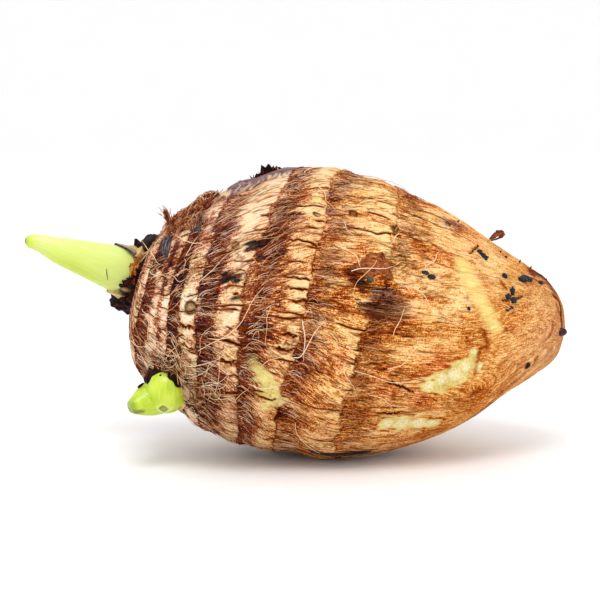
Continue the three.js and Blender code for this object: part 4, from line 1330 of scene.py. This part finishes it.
# Hairs round the foot of the main shoot: some by the places that they pass. The others spread from one point.
HAIR_STAR = (-40.9, -0.4, 57.3)
APEX_HAIRS = [
    [(-43.0, 0.4, 60.6), (-41.8, -0.3, 59.0), (-40.6, -1.0, 57.0), (-39.6, -2.2, 54.5), (-38.0, -3.4, 51.0)],
    [(-35.2, -5.5, 63.0), (-33.2, -6.6, 61.2), (-30.5, -9.2, 60.4), (-27.5, -12.6, 59.4)],
    [(-44.5, 1.0, 57.2), (-42.6, 0.0, 57.0), (-40.4, -1.4, 56.4), (-38.2, -4.0, 56.2)],
]
APEX_HAIR_POINTS = 9
STAR_HAIRS = 14
HAIR_LENGTHS = (1.2, 3.6)
HAIR_RADII = (0.06, 0.1)


def make_apex_hairs(finish):
    rng = np.random.default_rng(76)
    share = np.linspace(0, 1, APEX_HAIR_POINTS)
    paths = [spline(np.array(line), share) for line in APEX_HAIRS]
    for heading in np.linspace(0, 2 * np.pi, STAR_HAIRS + 1)[:-1] + rng.normal(0, 0.3, STAR_HAIRS):
        reach = rng.uniform(*HAIR_LENGTHS)
        way = np.array((math.cos(heading), -0.15, math.sin(heading) * 0.8))
        bend = rng.normal(0, 1.0, 3) * (1, 0.3, 1)
        paths.append(HAIR_STAR + reach * share[:, None] * way + bend * (share * share)[:, None])
    count = len(paths)
    thick, tint = rng.uniform(*HAIR_RADII, count), rng.uniform(0.0, 0.8, count)
    dress(strands("apex_hairs", np.array(paths), thick, tint, 5), finish, "corm_skin")


SIDE_PATH = [
    (-32.0, -12.0, 22.5), (-36.8, -17.6, 20.2), (-39.6, -20.8, 19.4), (-42.0, -23.2, 18.7),
    (-44.1, -25.1, 18.2),
]
SIDE_RADII = [5.2, 5.1, 4.5, 3.2, 1.7]
SIDE_SCALE = {"at": (-34.7, -20.7, 22.2), "radii": (5.9, 6.2, 6.5)}
SIDE_SPOT = (-35.4, -25.1, 17.7)
SIDE_TIP_MARK = (-42.8, -26.0, 17.0)
SIDE_TIP_SIZE = (3.2, 3.2, 1.1)
SIDE_LENGTH = 18  # of the grain
SIDE_COLLAR = {"at": (-32.8, -20.6, 23.0), "radii": (7.8, 5.2, 8.0)}


def make_side_shoot(finish):
    thick = taper(SIDE_RADII)
    piece, t, turn = stalk("side_shoot_cone", SIDE_PATH, lambda t, turn: thick(t), columns=64, rows=60)
    mark = np.linalg.norm((coordinates(piece.data) / MM - SIDE_TIP_MARK) / SIDE_TIP_SIZE, axis=-1)
    green = 0.42 + 0.25 * smooth(t, 0.3, 0.7) + 0.2 * smooth(t, 0.85, 1.0)
    dress(
        piece, finish, "shoot", "side_shoot",
        greened=green + 0.08 * noise(turn, t * 9, 9, 57),
        browned=0.75 * (1 - smooth(mark + 0.3 * noise(turn, t * 9, 9, 58), 0.5, 0.9)),
        grain=round_grain(t, turn, SIDE_LENGTH, 30),
    )


def make_side_scale(finish):
    def rough(turn, t):
        return 1 + 0.012 * noise(turn, t * 8, 14, 59)

    piece, t, turn = lump("side_scale_dome", rough=rough, columns=80, rows=48, **SIDE_SCALE)
    off = np.abs(coordinates(piece.data) / MM - SIDE_SPOT)
    spot = (off[:, 0] + 1.1 * off[:, 2]) / 1.7 + off[:, 1] / 4 + 0.25 * noise(turn, t * 7, 30, 69)
    green = 0.58 + 0.35 * smooth(t, 0.78, 0.95) + 0.16 * noise(turn, t * 7, 14, 60)
    dress(
        piece, finish, "green_scale", "side_scale",
        greened=green - 0.3 * bump(spot, 1.3, 0.5),
        browned=(1 - smooth(spot, 0.8, 1.05)) * (0.55 + 0.45 * bump(spot, 0.8, 0.25)),
        grain=round_grain(t, turn, SIDE_LENGTH, 38),
    )


# A pale sliver of sheath beside the dome and a tiny dark flake on the cone: x, y, z and half width.
SIDE_SCRAPS = {
    "side_sliver": ("straw", [
        (-29.6, -23.4, 23.4, 0.2), (-29.3, -23.2, 20.8, 0.5), (-30.2, -23.0, 18.2, 0.6),
        (-31.4, -22.6, 16.8, 0.2),
    ]),
    "side_flake": ("dark_husk", [
        (-42.4, -22.6, 23.0, 0.3), (-41.6, -22.4, 23.6, 0.4), (-40.8, -22.2, 24.2, 0.2),
    ]),
}
SCRAP_FACING = (0.2, -0.9, 0.3)


def facing_flake(name, places, facing, **shape):
    """A flake through places with their half widths, all of it turned the same way."""
    line = np.array(places)
    return flake(name, line[:, :3], np.tile(facing, (len(line), 1)), line[:, 3], **shape)


def make_side_scraps(finishes):
    for name, (finish, places) in SIDE_SCRAPS.items():
        dress(facing_flake(name, places, SCRAP_FACING, seed=130), finishes[finish], "sheath")


def make_side_collar(finish):
    def rough(turn, t):
        teeth = 0.05 * np.sin(14 * np.pi * turn) + 0.04 * np.sin(22 * np.pi * turn + 9 * t)
        shrunk = 0.3 * (1 - smooth(t, 0.3, 0.62))
        return 1 + teeth - shrunk + 0.07 * noise(turn, t * 14, 40, 61)

    # The collar's near-black husk stands partly for dark skin and partly for the shade in the gap round the
    # dome: painted shade.
    piece, t, turn = lump("side_collar_husk", rough=rough, columns=96, rows=40, **SIDE_COLLAR)
    dress(piece, finish, "dark_husk", "side_collar", grain=round_grain(t, turn, 24, 48))


CREST_EDGE = [0.2, 0.9, 1.4, 0.8, 1.7, 1.3, 3.1, 1.7, 2.7, 1.4, 1.0, 0.7, 0.2]
CREST_THICKNESS = 0.9
CREST_LENGTH = 16  # of the grain, also of the flap's
CREST_RINGS = (5.24, 0.47)  # where it starts and how far it reaches, in rings
CREST_TURNS = (0.262, -0.03)  # the same round the corm
CREST_SLANT = (-0.25, -0.1, 1)
CREST_ROOT = 1.6  # how much of it is under the skin
CREST_SPIKES = 40
SPIKE_SLANT = (-0.35, -0.15, 1)
SPIKE_RADII = (0.14, 0.34)


def crest_foot(along, lift):
    (ring, rings), (turn, turns) = CREST_RINGS, CREST_TURNS
    return plain_skin(ring + rings * along, turn + turns * along, lift)


def crest_height(along):
    return np.interp(along, np.linspace(0, 1, len(CREST_EDGE)), CREST_EDGE)


def make_crest(finish, spike_finish):
    def place(along, out, through_it):
        height = np.maximum(0.1, crest_height(along) + 0.5 * flat_noise(along, 0.5, 50, 62))
        foot = crest_foot(along, -1)
        foot[:, 1] += (through_it - 0.5) * CREST_THICKNESS * (1.4 - 0.9 * out)
        foot[:, 1] += 0.3 * out * flat_noise(along, out * 3, 16, 63)
        return foot + unit_ways(np.array(CREST_SLANT)) * (out * (height + CREST_ROOT))[:, None]

    piece, along, out = sheet_form("crest_scale_rag", 90, 14, place)
    dress(piece, finish, "dark_husk", "crest_scale", grain=flat_grain(along * CREST_LENGTH, out * 4))
    rng = np.random.default_rng(77)
    along = np.sort(rng.uniform(0.02, 0.98, CREST_SPIKES))
    foot = crest_foot(along, -0.5)
    tall = 0.9 + crest_height(along) * rng.uniform(0.3, 0.85, CREST_SPIKES)
    way = rng.normal(0, 0.25, (CREST_SPIKES, 3)) + SPIKE_SLANT
    foot[:, 1] += rng.uniform(-0.5, 0.3, CREST_SPIKES)
    share = np.linspace(0, 1, 6)
    paths = foot[:, None] + way[:, None] * (tall[:, None] * share)[..., None]
    thick = rng.uniform(*SPIKE_RADII, CREST_SPIKES)
    dress(strands("crest_spikes", paths, thick, rng.random(CREST_SPIKES), 5), spike_finish, "dark_husk")


FLAP_HEIGHTS = [0.1, 0.9, 1.4, 1.3, 1.0, 0.7, 0.1]
FLAP_RINGS = (4.72, 1.28)  # where it starts and how far it reaches, in rings
FLAP_TURNS = (0.232, 0.062)  # the same round the corm
FLAP_ROOT = 0.7  # how deep it starts under the skin


def make_crest_flap(finish):
    """The foot of the crest: a smooth scale that clings to the skin below it."""
    (first_ring, rings), (first_turn, turns) = FLAP_RINGS, FLAP_TURNS

    def place(along, out, through_it):
        ragged = layers(along * 0.5, 1.0, (0.014, 0.5, 14, 92), (0.006, 5.5, 70, 97)) * smooth(out, 0.3, 1.0)
        tall = np.interp(along, np.linspace(0, 1, len(FLAP_HEIGHTS)), FLAP_HEIGHTS)
        height = tall * np.sin(np.pi * np.clip(0.1 + 0.9 * out, 0, 1)) ** 0.8
        height += 0.12 * flat_noise(along, out * 5, 30, 93)
        ring = first_ring + rings * along + 0.06 * flat_noise(out, 0.5, 20, 94)
        return plain_skin(ring, first_turn + turns * out + ragged, through_it * (height + 0.8) - FLAP_ROOT)

    piece, along, out = sheet_form("crest_flap", 90, 30, place)
    foot = out + 0.3 * flat_noise(along, out * 6, 60, 98) + 0.25 * smooth(along, 0.7, 1.0)
    dress(
        piece, finish, "dark_husk",
        grain=flat_grain(out * 18, along * CREST_LENGTH),
        rim=smooth(foot, 0.72, 1.2),
    )


MAT_RINGS = (2.55, 1.75)  # where the leaf's mat starts and how far it reaches, in rings
MAT_TURNS = (0.215, 0.1)  # the same round the corm
MAT_WALL = 1.0
STRIP_PATH = [(-33.6, 0.0, 62.8), (-34.8, 0.8, 65.2), (-35.8, 1.6, 67.2), (-36.6, 2.0, 68.6)]
STRIP_RADII = [0.8, 0.75, 0.7, 0.55]


def make_leaf_scrap(finish):
    """The dry leaf at the tip: a ragged mat on the skin and the strip that stands up from it."""
    (first_ring, rings), (first_turn, turns) = MAT_RINGS, MAT_TURNS

    def place(along, out, through_it):
        ragged = 0.008 * np.sin(9 * along * np.pi) + 0.02 * flat_noise(along, 0.3, 26, 64)
        frayed = 0.01 * (flat_noise(along, 7.3, 34, 95) - 1)
        turn = first_turn + ragged + (turns - 2 * ragged + frayed) * out
        ring = first_ring + rings * along + 0.3 * flat_noise(out, 3.3, 24, 96) * (along - 0.5)
        rolls = 0.3 * np.sin(19 * along + 11 * out) + 0.35 * flat_noise(along, out * 9, 50, 65)
        return plain_skin(ring, turn, through_it * (MAT_WALL + rolls) - 0.1)

    def radius(t, turn):
        return taper(STRIP_RADII)(t) + 0.15 * noise(turn, t * 12, 9, 66)

    mat, along, out = sheet_form("leaf_scrap_mat", 60, 40, place)
    dress(mat, finish, "dry_leaf", "leaf_scrap", grain=flat_grain(out * 20, along * 16))
    strip, t, turn = stalk("leaf_scrap_strip", STRIP_PATH, radius, columns=24, rows=30)
    dress(strip, finish, "dry_leaf", "leaf_scrap", grain=round_grain(t, turn, 8, 5))


# The fuzz's beds: how many fibres, and between which rings and turns they start.
FUZZ_BEDS = [(420, (2.5, 4.3), (0.22, 0.36)), (200, (2.9, 4.1), (0.23, 0.3))]
FUZZ_LENGTHS = (0.1, 0.3)  # in rings
FUZZ_TURN = 0.05  # turns to a ring's length
STRIP_FUZZ = 90
STRIP_SHARE = 0.25  # of the strip's length that a fibre follows
FUZZ_RADII = (0.07, 0.14)


def make_scrap_fuzz(finish):
    """Curled fibres of the dry leaf: over its mat, in a tuft behind it and down its strip."""
    rng = np.random.default_rng(78)
    share = np.linspace(0, 1, 9)
    ring = np.concatenate([rng.uniform(*rings, count) for count, rings, _ in FUZZ_BEDS])
    turn = np.concatenate([rng.uniform(*turns, count) for count, _, turns in FUZZ_BEDS])
    count = len(ring)
    heading, bend = rng.uniform(0, 2 * np.pi, count)[:, None], rng.normal(0, 2.2, count)[:, None]
    length = rng.uniform(*FUZZ_LENGTHS, count)[:, None]
    ring = ring[:, None] + length * np.cos(heading + bend * share) * share
    turn = turn[:, None] + length * FUZZ_TURN * np.sin(heading + bend * share) * share
    high = 0.5 + rng.uniform(0.1, 2.0, count)[:, None] * np.sin(np.pi * (0.1 + 0.8 * share))
    start = rng.uniform(0, 0.9, STRIP_FUZZ)
    along = np.clip(start[:, None] + STRIP_SHARE * share, 0, 1)
    off = rng.normal(0, 0.5, (STRIP_FUZZ, 1, 3)) * (1 + 0.6 * share[:, None])
    paths = np.concatenate([bed(ring, turn, high), spline(np.array(STRIP_PATH), along) + off])
    thick = rng.uniform(*FUZZ_RADII, len(paths))
    dress(strands("scrap_fuzz", paths, thick, rng.random(len(paths))), finish, "dry_leaf")


BUD_SCALE = {"at": (-40.0, 3.5, 59.3), "radii": (3.0, 2.4, 2.3)}
BUD_HOLLOW = {"at": (-39.4, 1.0, 58.9), "radii": (2.2, 2.4, 1.5)}
BUD_CORE = {"at": (-38.9, 1.9, 59.3), "radii": (1.2, 0.8, 0.8)}


def make_bud_scale(finish, core_finish):
    def rough(turn, t):
        point = np.array(BUD_SCALE["at"]) + ball_way(turn, t) * BUD_SCALE["radii"]
        hollow = np.linalg.norm((point - BUD_HOLLOW["at"]) / BUD_HOLLOW["radii"], axis=-1)
        ridges = 0.09 * np.sin(10 * np.pi * turn + 5 * t) + 0.1 * noise(turn, t * 7, 14, 67)
        return 1 + ridges - 0.4 * (1 - smooth(hollow, 0.6, 1.1))

    piece, t, turn = lump("bud_scale_hood", rough=rough, columns=72, rows=44, **BUD_SCALE)
    dress(piece, finish, "black_scale", "bud_scale", grain=round_grain(t, turn, 8, 16))
    core, t, turn = lump("bud_core", columns=24, rows=16, **BUD_CORE)
    dress(core, core_finish, "sheath", grain=round_grain(t, turn, 3, 6))


ROOT_STUB = {"at": (73.1, -8.2, 36.0), "radii": (1.9, 1.5, 1.3)}


def make_root_stub(finish):
    piece, t, turn = lump("root_stub_bead", **ROOT_STUB)
    dress(piece, finish, "root_bead", "root_stub", grain=round_grain(t, turn, 4, 9))


# The clods of soil: each node's lobes by ring, turn, how high it stands and three half sizes.
CRUMBS = [
    [
        (10.62, 0.349, 0.35, (1.5, 0.7, 0.8)), (10.83, 0.336, 0.35, (1.3, 0.7, 0.75)),
        (10.72, 0.338, 0.2, (1.5, 0.6, 0.9)),
    ],
    [
        (10.37, 0.387, 0.3, (0.7, 0.5, 1.15)), (10.28, 0.4, 0.25, (0.85, 0.5, 0.75)),
        (10.43, 0.4055, 0.3, (1.0, 0.6, 0.8)),
    ],
    [
        (9.42, 0.3365, 0.3, (0.75, 0.45, 0.6)), (9.5, 0.34, 0.3, (0.75, 0.45, 0.6)),
        (9.58, 0.3425, 0.3, (0.75, 0.45, 0.6)),
    ],
    [(8.6, 0.4055, 0.3, (1.0, 0.45, 0.55)), (8.72, 0.408, 0.3, (1.15, 0.5, 0.6))],
]
# Loose grains that belong to no clod: ring, turn, how high and three half sizes.
SPECKS = [
    (10.11, 0.361, 0.3, (0.8, 0.5, 0.7)), (10.4, 0.422, 0.2, (0.8, 0.4, 0.4)),
    (10.33, 0.428, 0.2, (0.6, 0.35, 0.3)), (9.54, 0.437, 0.2, (0.5, 0.35, 0.5)),
    (11.44, 0.32, 0.3, (0.8, 0.5, 0.6)), (10.12, 0.298, 0.2, (0.45, 0.3, 0.3)),
    (8.0, 0.05, 0.3, (0.9, 0.5, 0.7)), (9.6, 0.1, 0.3, (1.1, 0.6, 0.7)), (10.4, 0.95, 0.3, (0.8, 0.6, 0.9)),
    (9.0, 0.85, 0.3, (0.7, 0.5, 0.5)), (11.2, 0.05, 0.3, (0.9, 0.6, 0.7)),
]


def grain_of_soil(name, number, ring, turn, lift, radii, finish, *nodes):
    def rough(turn, t):
        return 1 + 0.34 * noise(turn, t * 5 + number, 7, 80 + number)

    piece, t, turn = lump(name, bed(ring, turn, lift), radii, rough, 24, 16)
    dress(piece, finish, "soil", *nodes, grain=round_grain(t, turn, 4, 6))


def make_soil(finish):
    for number, lobes in enumerate(CRUMBS, 1):
        for lobe, (ring, turn, lift, radii) in zip("abc", lobes):
            name = f"soil_crumb_{number}_{lobe}"
            grain_of_soil(name, number, ring, turn, lift, radii, finish, f"soil_crumb_{number}")
    for number, (ring, turn, lift, radii) in enumerate(SPECKS, 1):
        grain_of_soil(f"speck_{number}", number, ring, turn, lift, radii, finish)


# Scales that lie on the skin: name, finish, slot, how high and how torn.
# Then the places along the middle: ring, turn and half width.
SKIN_SCALES = [
    ("eye_flap", "eye_lid", "corm_skin", 0.1, 0.35, [
        (7.47, 0.4245, 0.3), (7.62, 0.4205, 1.9), (7.8, 0.416, 3.8), (7.94, 0.4185, 2.4), (8.1, 0.4245, 0.3),
    ]),
    ("tip_blue_scale", "blue_scale", "corm_skin", 0.2, 0.8, [
        (3.27, 0.355, 1.2), (3.37, 0.378, 2.1), (3.5, 0.402, 1.6),
    ]),
    ("upper_blue_scale", "blue_scale", "corm_skin", 0.2, 0.8, [
        (4.14, 0.315, 1.2), (4.28, 0.341, 2.1), (4.42, 0.364, 1.5),
    ]),
    # The belly flake is a black sheet laid low on the underside, where the corm meets the table: a painted
    # contact shadow.
    ("belly_shadow_flake", "black_scale", "black_scale", 0.3, 0.25, [
        (7.63, 0.663, 0.4), (7.91, 0.667, 1.1), (8.19, 0.676, 1.1), (8.5, 0.673, 0.4),
    ]),
    ("left_tail", "dry_leaf", "dry_leaf", 0.25, 0.25, [
        (10.16, 0.4105, 0.25), (10.24, 0.4085, 0.3), (10.33, 0.407, 0.2),
    ]),
    ("right_tail", "dry_leaf", "dry_leaf", 0.25, 0.25, [
        (10.52, 0.4, 0.3), (10.6, 0.397, 0.35), (10.7, 0.391, 0.15),
    ]),
]
# Bundles of fibres on the skin: name, finish and how many. Then the same places.
SKIN_BUNDLES = [
    # The sheen fibres' pale tints are painted glints over the eye and the blue scales.
    ("eye_streaks", "fibre_with_painted_sheen", 14, [(7.76, 0.443, 0.6), (7.98, 0.4405, 1.2), (8.24, 0.436, 0.8)]),
    ("eye_low_streaks", "fibre_with_painted_sheen", 8, [(7.86, 0.45, 0.5), (8.05, 0.447, 1.0), (8.3, 0.442, 0.6)]),
    ("eye_red_fibres", "dark_fibre", 80, [(7.7, 0.458, 1.6), (8.15, 0.456, 3.2), (8.6, 0.455, 2.4)]),
    ("eye_upper_fibres", "dark_fibre", 24, [(7.6, 0.42, 0.6), (7.85, 0.408, 1.8), (8.15, 0.404, 1.4)]),
    ("tip_blue_fibres", "fibre_with_painted_sheen", 44, [(3.24, 0.353, 1.8), (3.37, 0.378, 2.3), (3.52, 0.405, 2.0)]),
    ("upper_blue_fibres", "fibre_with_painted_sheen", 46, [(4.12, 0.312, 1.8), (4.28, 0.341, 2.4), (4.44, 0.368, 1.8)]),
]
BUNDLE_LIFT = 0.35
BUNDLE_RADIUS = 0.06


def make_skin_scales(finishes):
    for number, (name, finish, slot, lift, torn, places) in enumerate(SKIN_SCALES):
        rings, turns, widths = np.array(places).T
        line, out = on_skin(rings, turns, lift)
        dress(flake(name, line, out, widths, 0.35, 0.25, torn, 140 + 3 * number), finishes[finish], slot)
    for number, (name, finish, count, places) in enumerate(SKIN_BUNDLES):
        rings, turns, widths = np.array(places).T
        line, out = on_skin(rings, turns, BUNDLE_LIFT)
        piece = bundle(name, line, out, widths, count, BUNDLE_RADIUS, 160 + number)
        dress(piece, finishes[finish], "corm_skin")


EYE_BEAD = (7.79, 0.432, 0.35)  # ring, turn and how high
EYE_BEAD_RADII = (0.95, 0.8, 0.85)


def make_eye_bead(finish):
    piece, t, turn = lump("eye_bead", bed(*EYE_BEAD), EYE_BEAD_RADII, columns=32, rows=20)
    dress(piece, finish, "corm_skin", grain=round_grain(t, turn, 4, 6))


# Small dry spikes on the outline of the neck: ring, turn and how tall.
SPIKES = [(10.53, 0.275, 1.0), (10.95, 0.264, 0.8), (9.95, 0.29, 0.6), (8.95, 0.285, 0.7), (11.9, 0.26, 0.4)]
SPIKE_ROOT = 0.3
SPIKE_RADIUS = 0.3
SPIKE_TINT = 0.05


def make_spikes(finish):
    ring, turn, tall = np.array(SPIKES).T[..., None]
    share = np.linspace(0, 1, 5)
    paths = bed(ring + 0.02 * share, turn + 0.004 * share, (tall + SPIKE_ROOT) * share - SPIKE_ROOT)
    all_of_them = np.ones(len(SPIKES))
    piece = strands("neck_spikes", paths, SPIKE_RADIUS * all_of_them, SPIKE_TINT * all_of_them, 5)
    dress(piece, finish, "dry_leaf")


BRACT_STALK = [(51.6, -6.0, 60.2), (52.6, -6.3, 60.8), (53.5, -6.5, 61.3), (54.4, -6.7, 61.8)]
BRACT_RADII = [0.35, 0.32, 0.3, 0.25]
# Its two lobes: x, y, z and half width along each.
BRACT_LOBES = {
    "bract_upper_lobe": [
        (53.4, -6.5, 61.4, 0.25), (54.6, -6.8, 62.4, 0.7), (55.9, -7.1, 63.2, 0.85), (57.2, -7.3, 63.5, 0.3),
    ],
    "bract_lower_lobe": [
        (53.8, -6.4, 61.1, 0.15), (55.2, -6.7, 61.5, 0.25), (56.4, -6.9, 62.1, 0.4), (57.4, -7.2, 63.0, 0.3),
    ],
}
BRACT_FACING = (0.2, -0.9, 0.4)


def make_bract(straw, dry_leaf):
    thick = taper(BRACT_RADII)
    piece, t, turn = stalk("bract_stalk", BRACT_STALK, lambda t, turn: thick(t), columns=16, rows=20)
    dress(piece, straw, "dry_leaf", "bract", grain=round_grain(t, turn, 8, 5), rim=np.zeros(len(t)))
    for name, places in BRACT_LOBES.items():
        lobe = facing_flake(name, places, BRACT_FACING, wall=0.45, torn=0.35, seed=170)
        dress(lobe, dry_leaf, "dry_leaf", "bract")


# ---- table, light and camera ----

AIM = (0.0013, 0.0, 0.0437)
CAMERA_DISTANCE = 0.513
CAMERA_RISE = math.radians(8)
LENS = 110
SENSOR = 36


def make_camera():
    data = bpy.data.cameras.new("camera")
    data.lens = LENS
    data.sensor_width = SENSOR
    camera = bpy.data.objects.new("camera", data)
    back = Vector((0, -math.cos(CAMERA_RISE), math.sin(CAMERA_RISE)))
    camera.location = Vector(AIM) + back * CAMERA_DISTANCE
    camera.rotation_euler = (-back).to_track_quat("-Z", "Y").to_euler()
    bpy.context.scene.collection.objects.link(camera)
    bpy.context.scene.camera = camera


TABLE_HALF = 4.0
TABLE_FLAT = 1.5  # radius of its level middle, beyond which it sweeps up to hide the horizon
TABLE_SWEEP = 0.5
TABLE_CELLS = 48
TABLE_COLOUR = (0.95, 0.95, 0.95, 1)


def make_table():
    body = bmesh.new()
    bmesh.ops.create_grid(body, x_segments=TABLE_CELLS, y_segments=TABLE_CELLS, size=TABLE_HALF)
    for vertex in body.verts:
        vertex.co.z = TABLE_SWEEP * max(0, vertex.co.xy.length - TABLE_FLAT) ** 2
    for face in body.faces:
        face.smooth = True
    mesh = bpy.data.meshes.new("table")
    body.to_mesh(mesh)
    body.free()
    table = linked("table", mesh)
    f = Finish("pale_table", roughness=0.9)
    f.shader.inputs["Base Color"].default_value = TABLE_COLOUR
    mesh.materials.append(f.material)


WORLD_POWER = 1.08
# Soft square lights: where each is, its power and its width.
LIGHTS = {"key": ((-0.05, -0.5, 0.85), 3.6, 0.4), "fill": ((0.6, -0.6, 0.35), 0.8, 0.6)}


def soft_light(name, at, power, size):
    data = bpy.data.lights.new(name, "AREA")
    data.energy = power
    data.size = size
    light = bpy.data.objects.new(name, data)
    light.location = at
    light.rotation_euler = (Vector(AIM) - Vector(at)).to_track_quat("-Z", "Y").to_euler()
    bpy.context.scene.collection.objects.link(light)


def make_light():
    world = bpy.data.worlds.new("studio")
    world.use_nodes = True
    colour, power = world.node_tree.nodes["Background"].inputs[:2]
    colour.default_value = (1, 1, 1, 1)
    power.default_value = WORLD_POWER
    bpy.context.scene.world = world
    bpy.context.scene.view_settings.view_transform = "Standard"
    for name, (at, power, size) in LIGHTS.items():
        soft_light(name, at, power, size)


# ---- the whole root ----

make_camera()
make_table()
make_light()
make_corm(corm_finish())

green = shoot_finish()
finishes = fibre_and_scale_finishes()

band_fibres("band_fibres_front", 3000, (0.25, 0.75), 73, finishes["fibre"])
band_fibres("band_fibres_back", 2400, (-0.25, 0.25), 74, finishes["fibre"])
# Their pale tints are painted glints on the dark bands.
band_fibres("band_sheen_fibres", 130, (0.26, 0.56), 81, finishes["fibre_with_painted_sheen"])
rootlets(finishes["rootlet"])
side_fibres("side_shoot_fibres", 55, (-0.4, 1.8), 75, finishes["rootlet"])
side_fibres("side_shoot_brown_fibres", 140, (-0.9, 2.1), 79, finishes["dark_fibre"])

make_main_shoot(green)
make_main_sheath(sheath_finish())
make_main_husk(finishes["dark_husk"])
make_shoot_scales(finishes)
make_apex_hairs(finishes["rootlet"])
make_side_shoot(green)
make_side_scale(green)
make_side_collar(finishes["dark_husk"])
make_side_scraps(finishes)
make_crest(finishes["dark_husk"], finishes["dark_fibre"])
make_crest_flap(finishes["mauve_scale"])
make_leaf_scrap(finishes["dry_leaf"])
make_scrap_fuzz(finishes["dry_fibre"])
make_bud_scale(finishes["black_scale"], finishes["pale_bud"])
make_root_stub(finishes["root_bead"])
make_soil(finishes["soil"])
make_skin_scales(finishes)
make_eye_bead(finishes["eye_bead"])
make_spikes(finishes["fibre"])
make_bract(finishes["straw"], finishes["dry_leaf"])
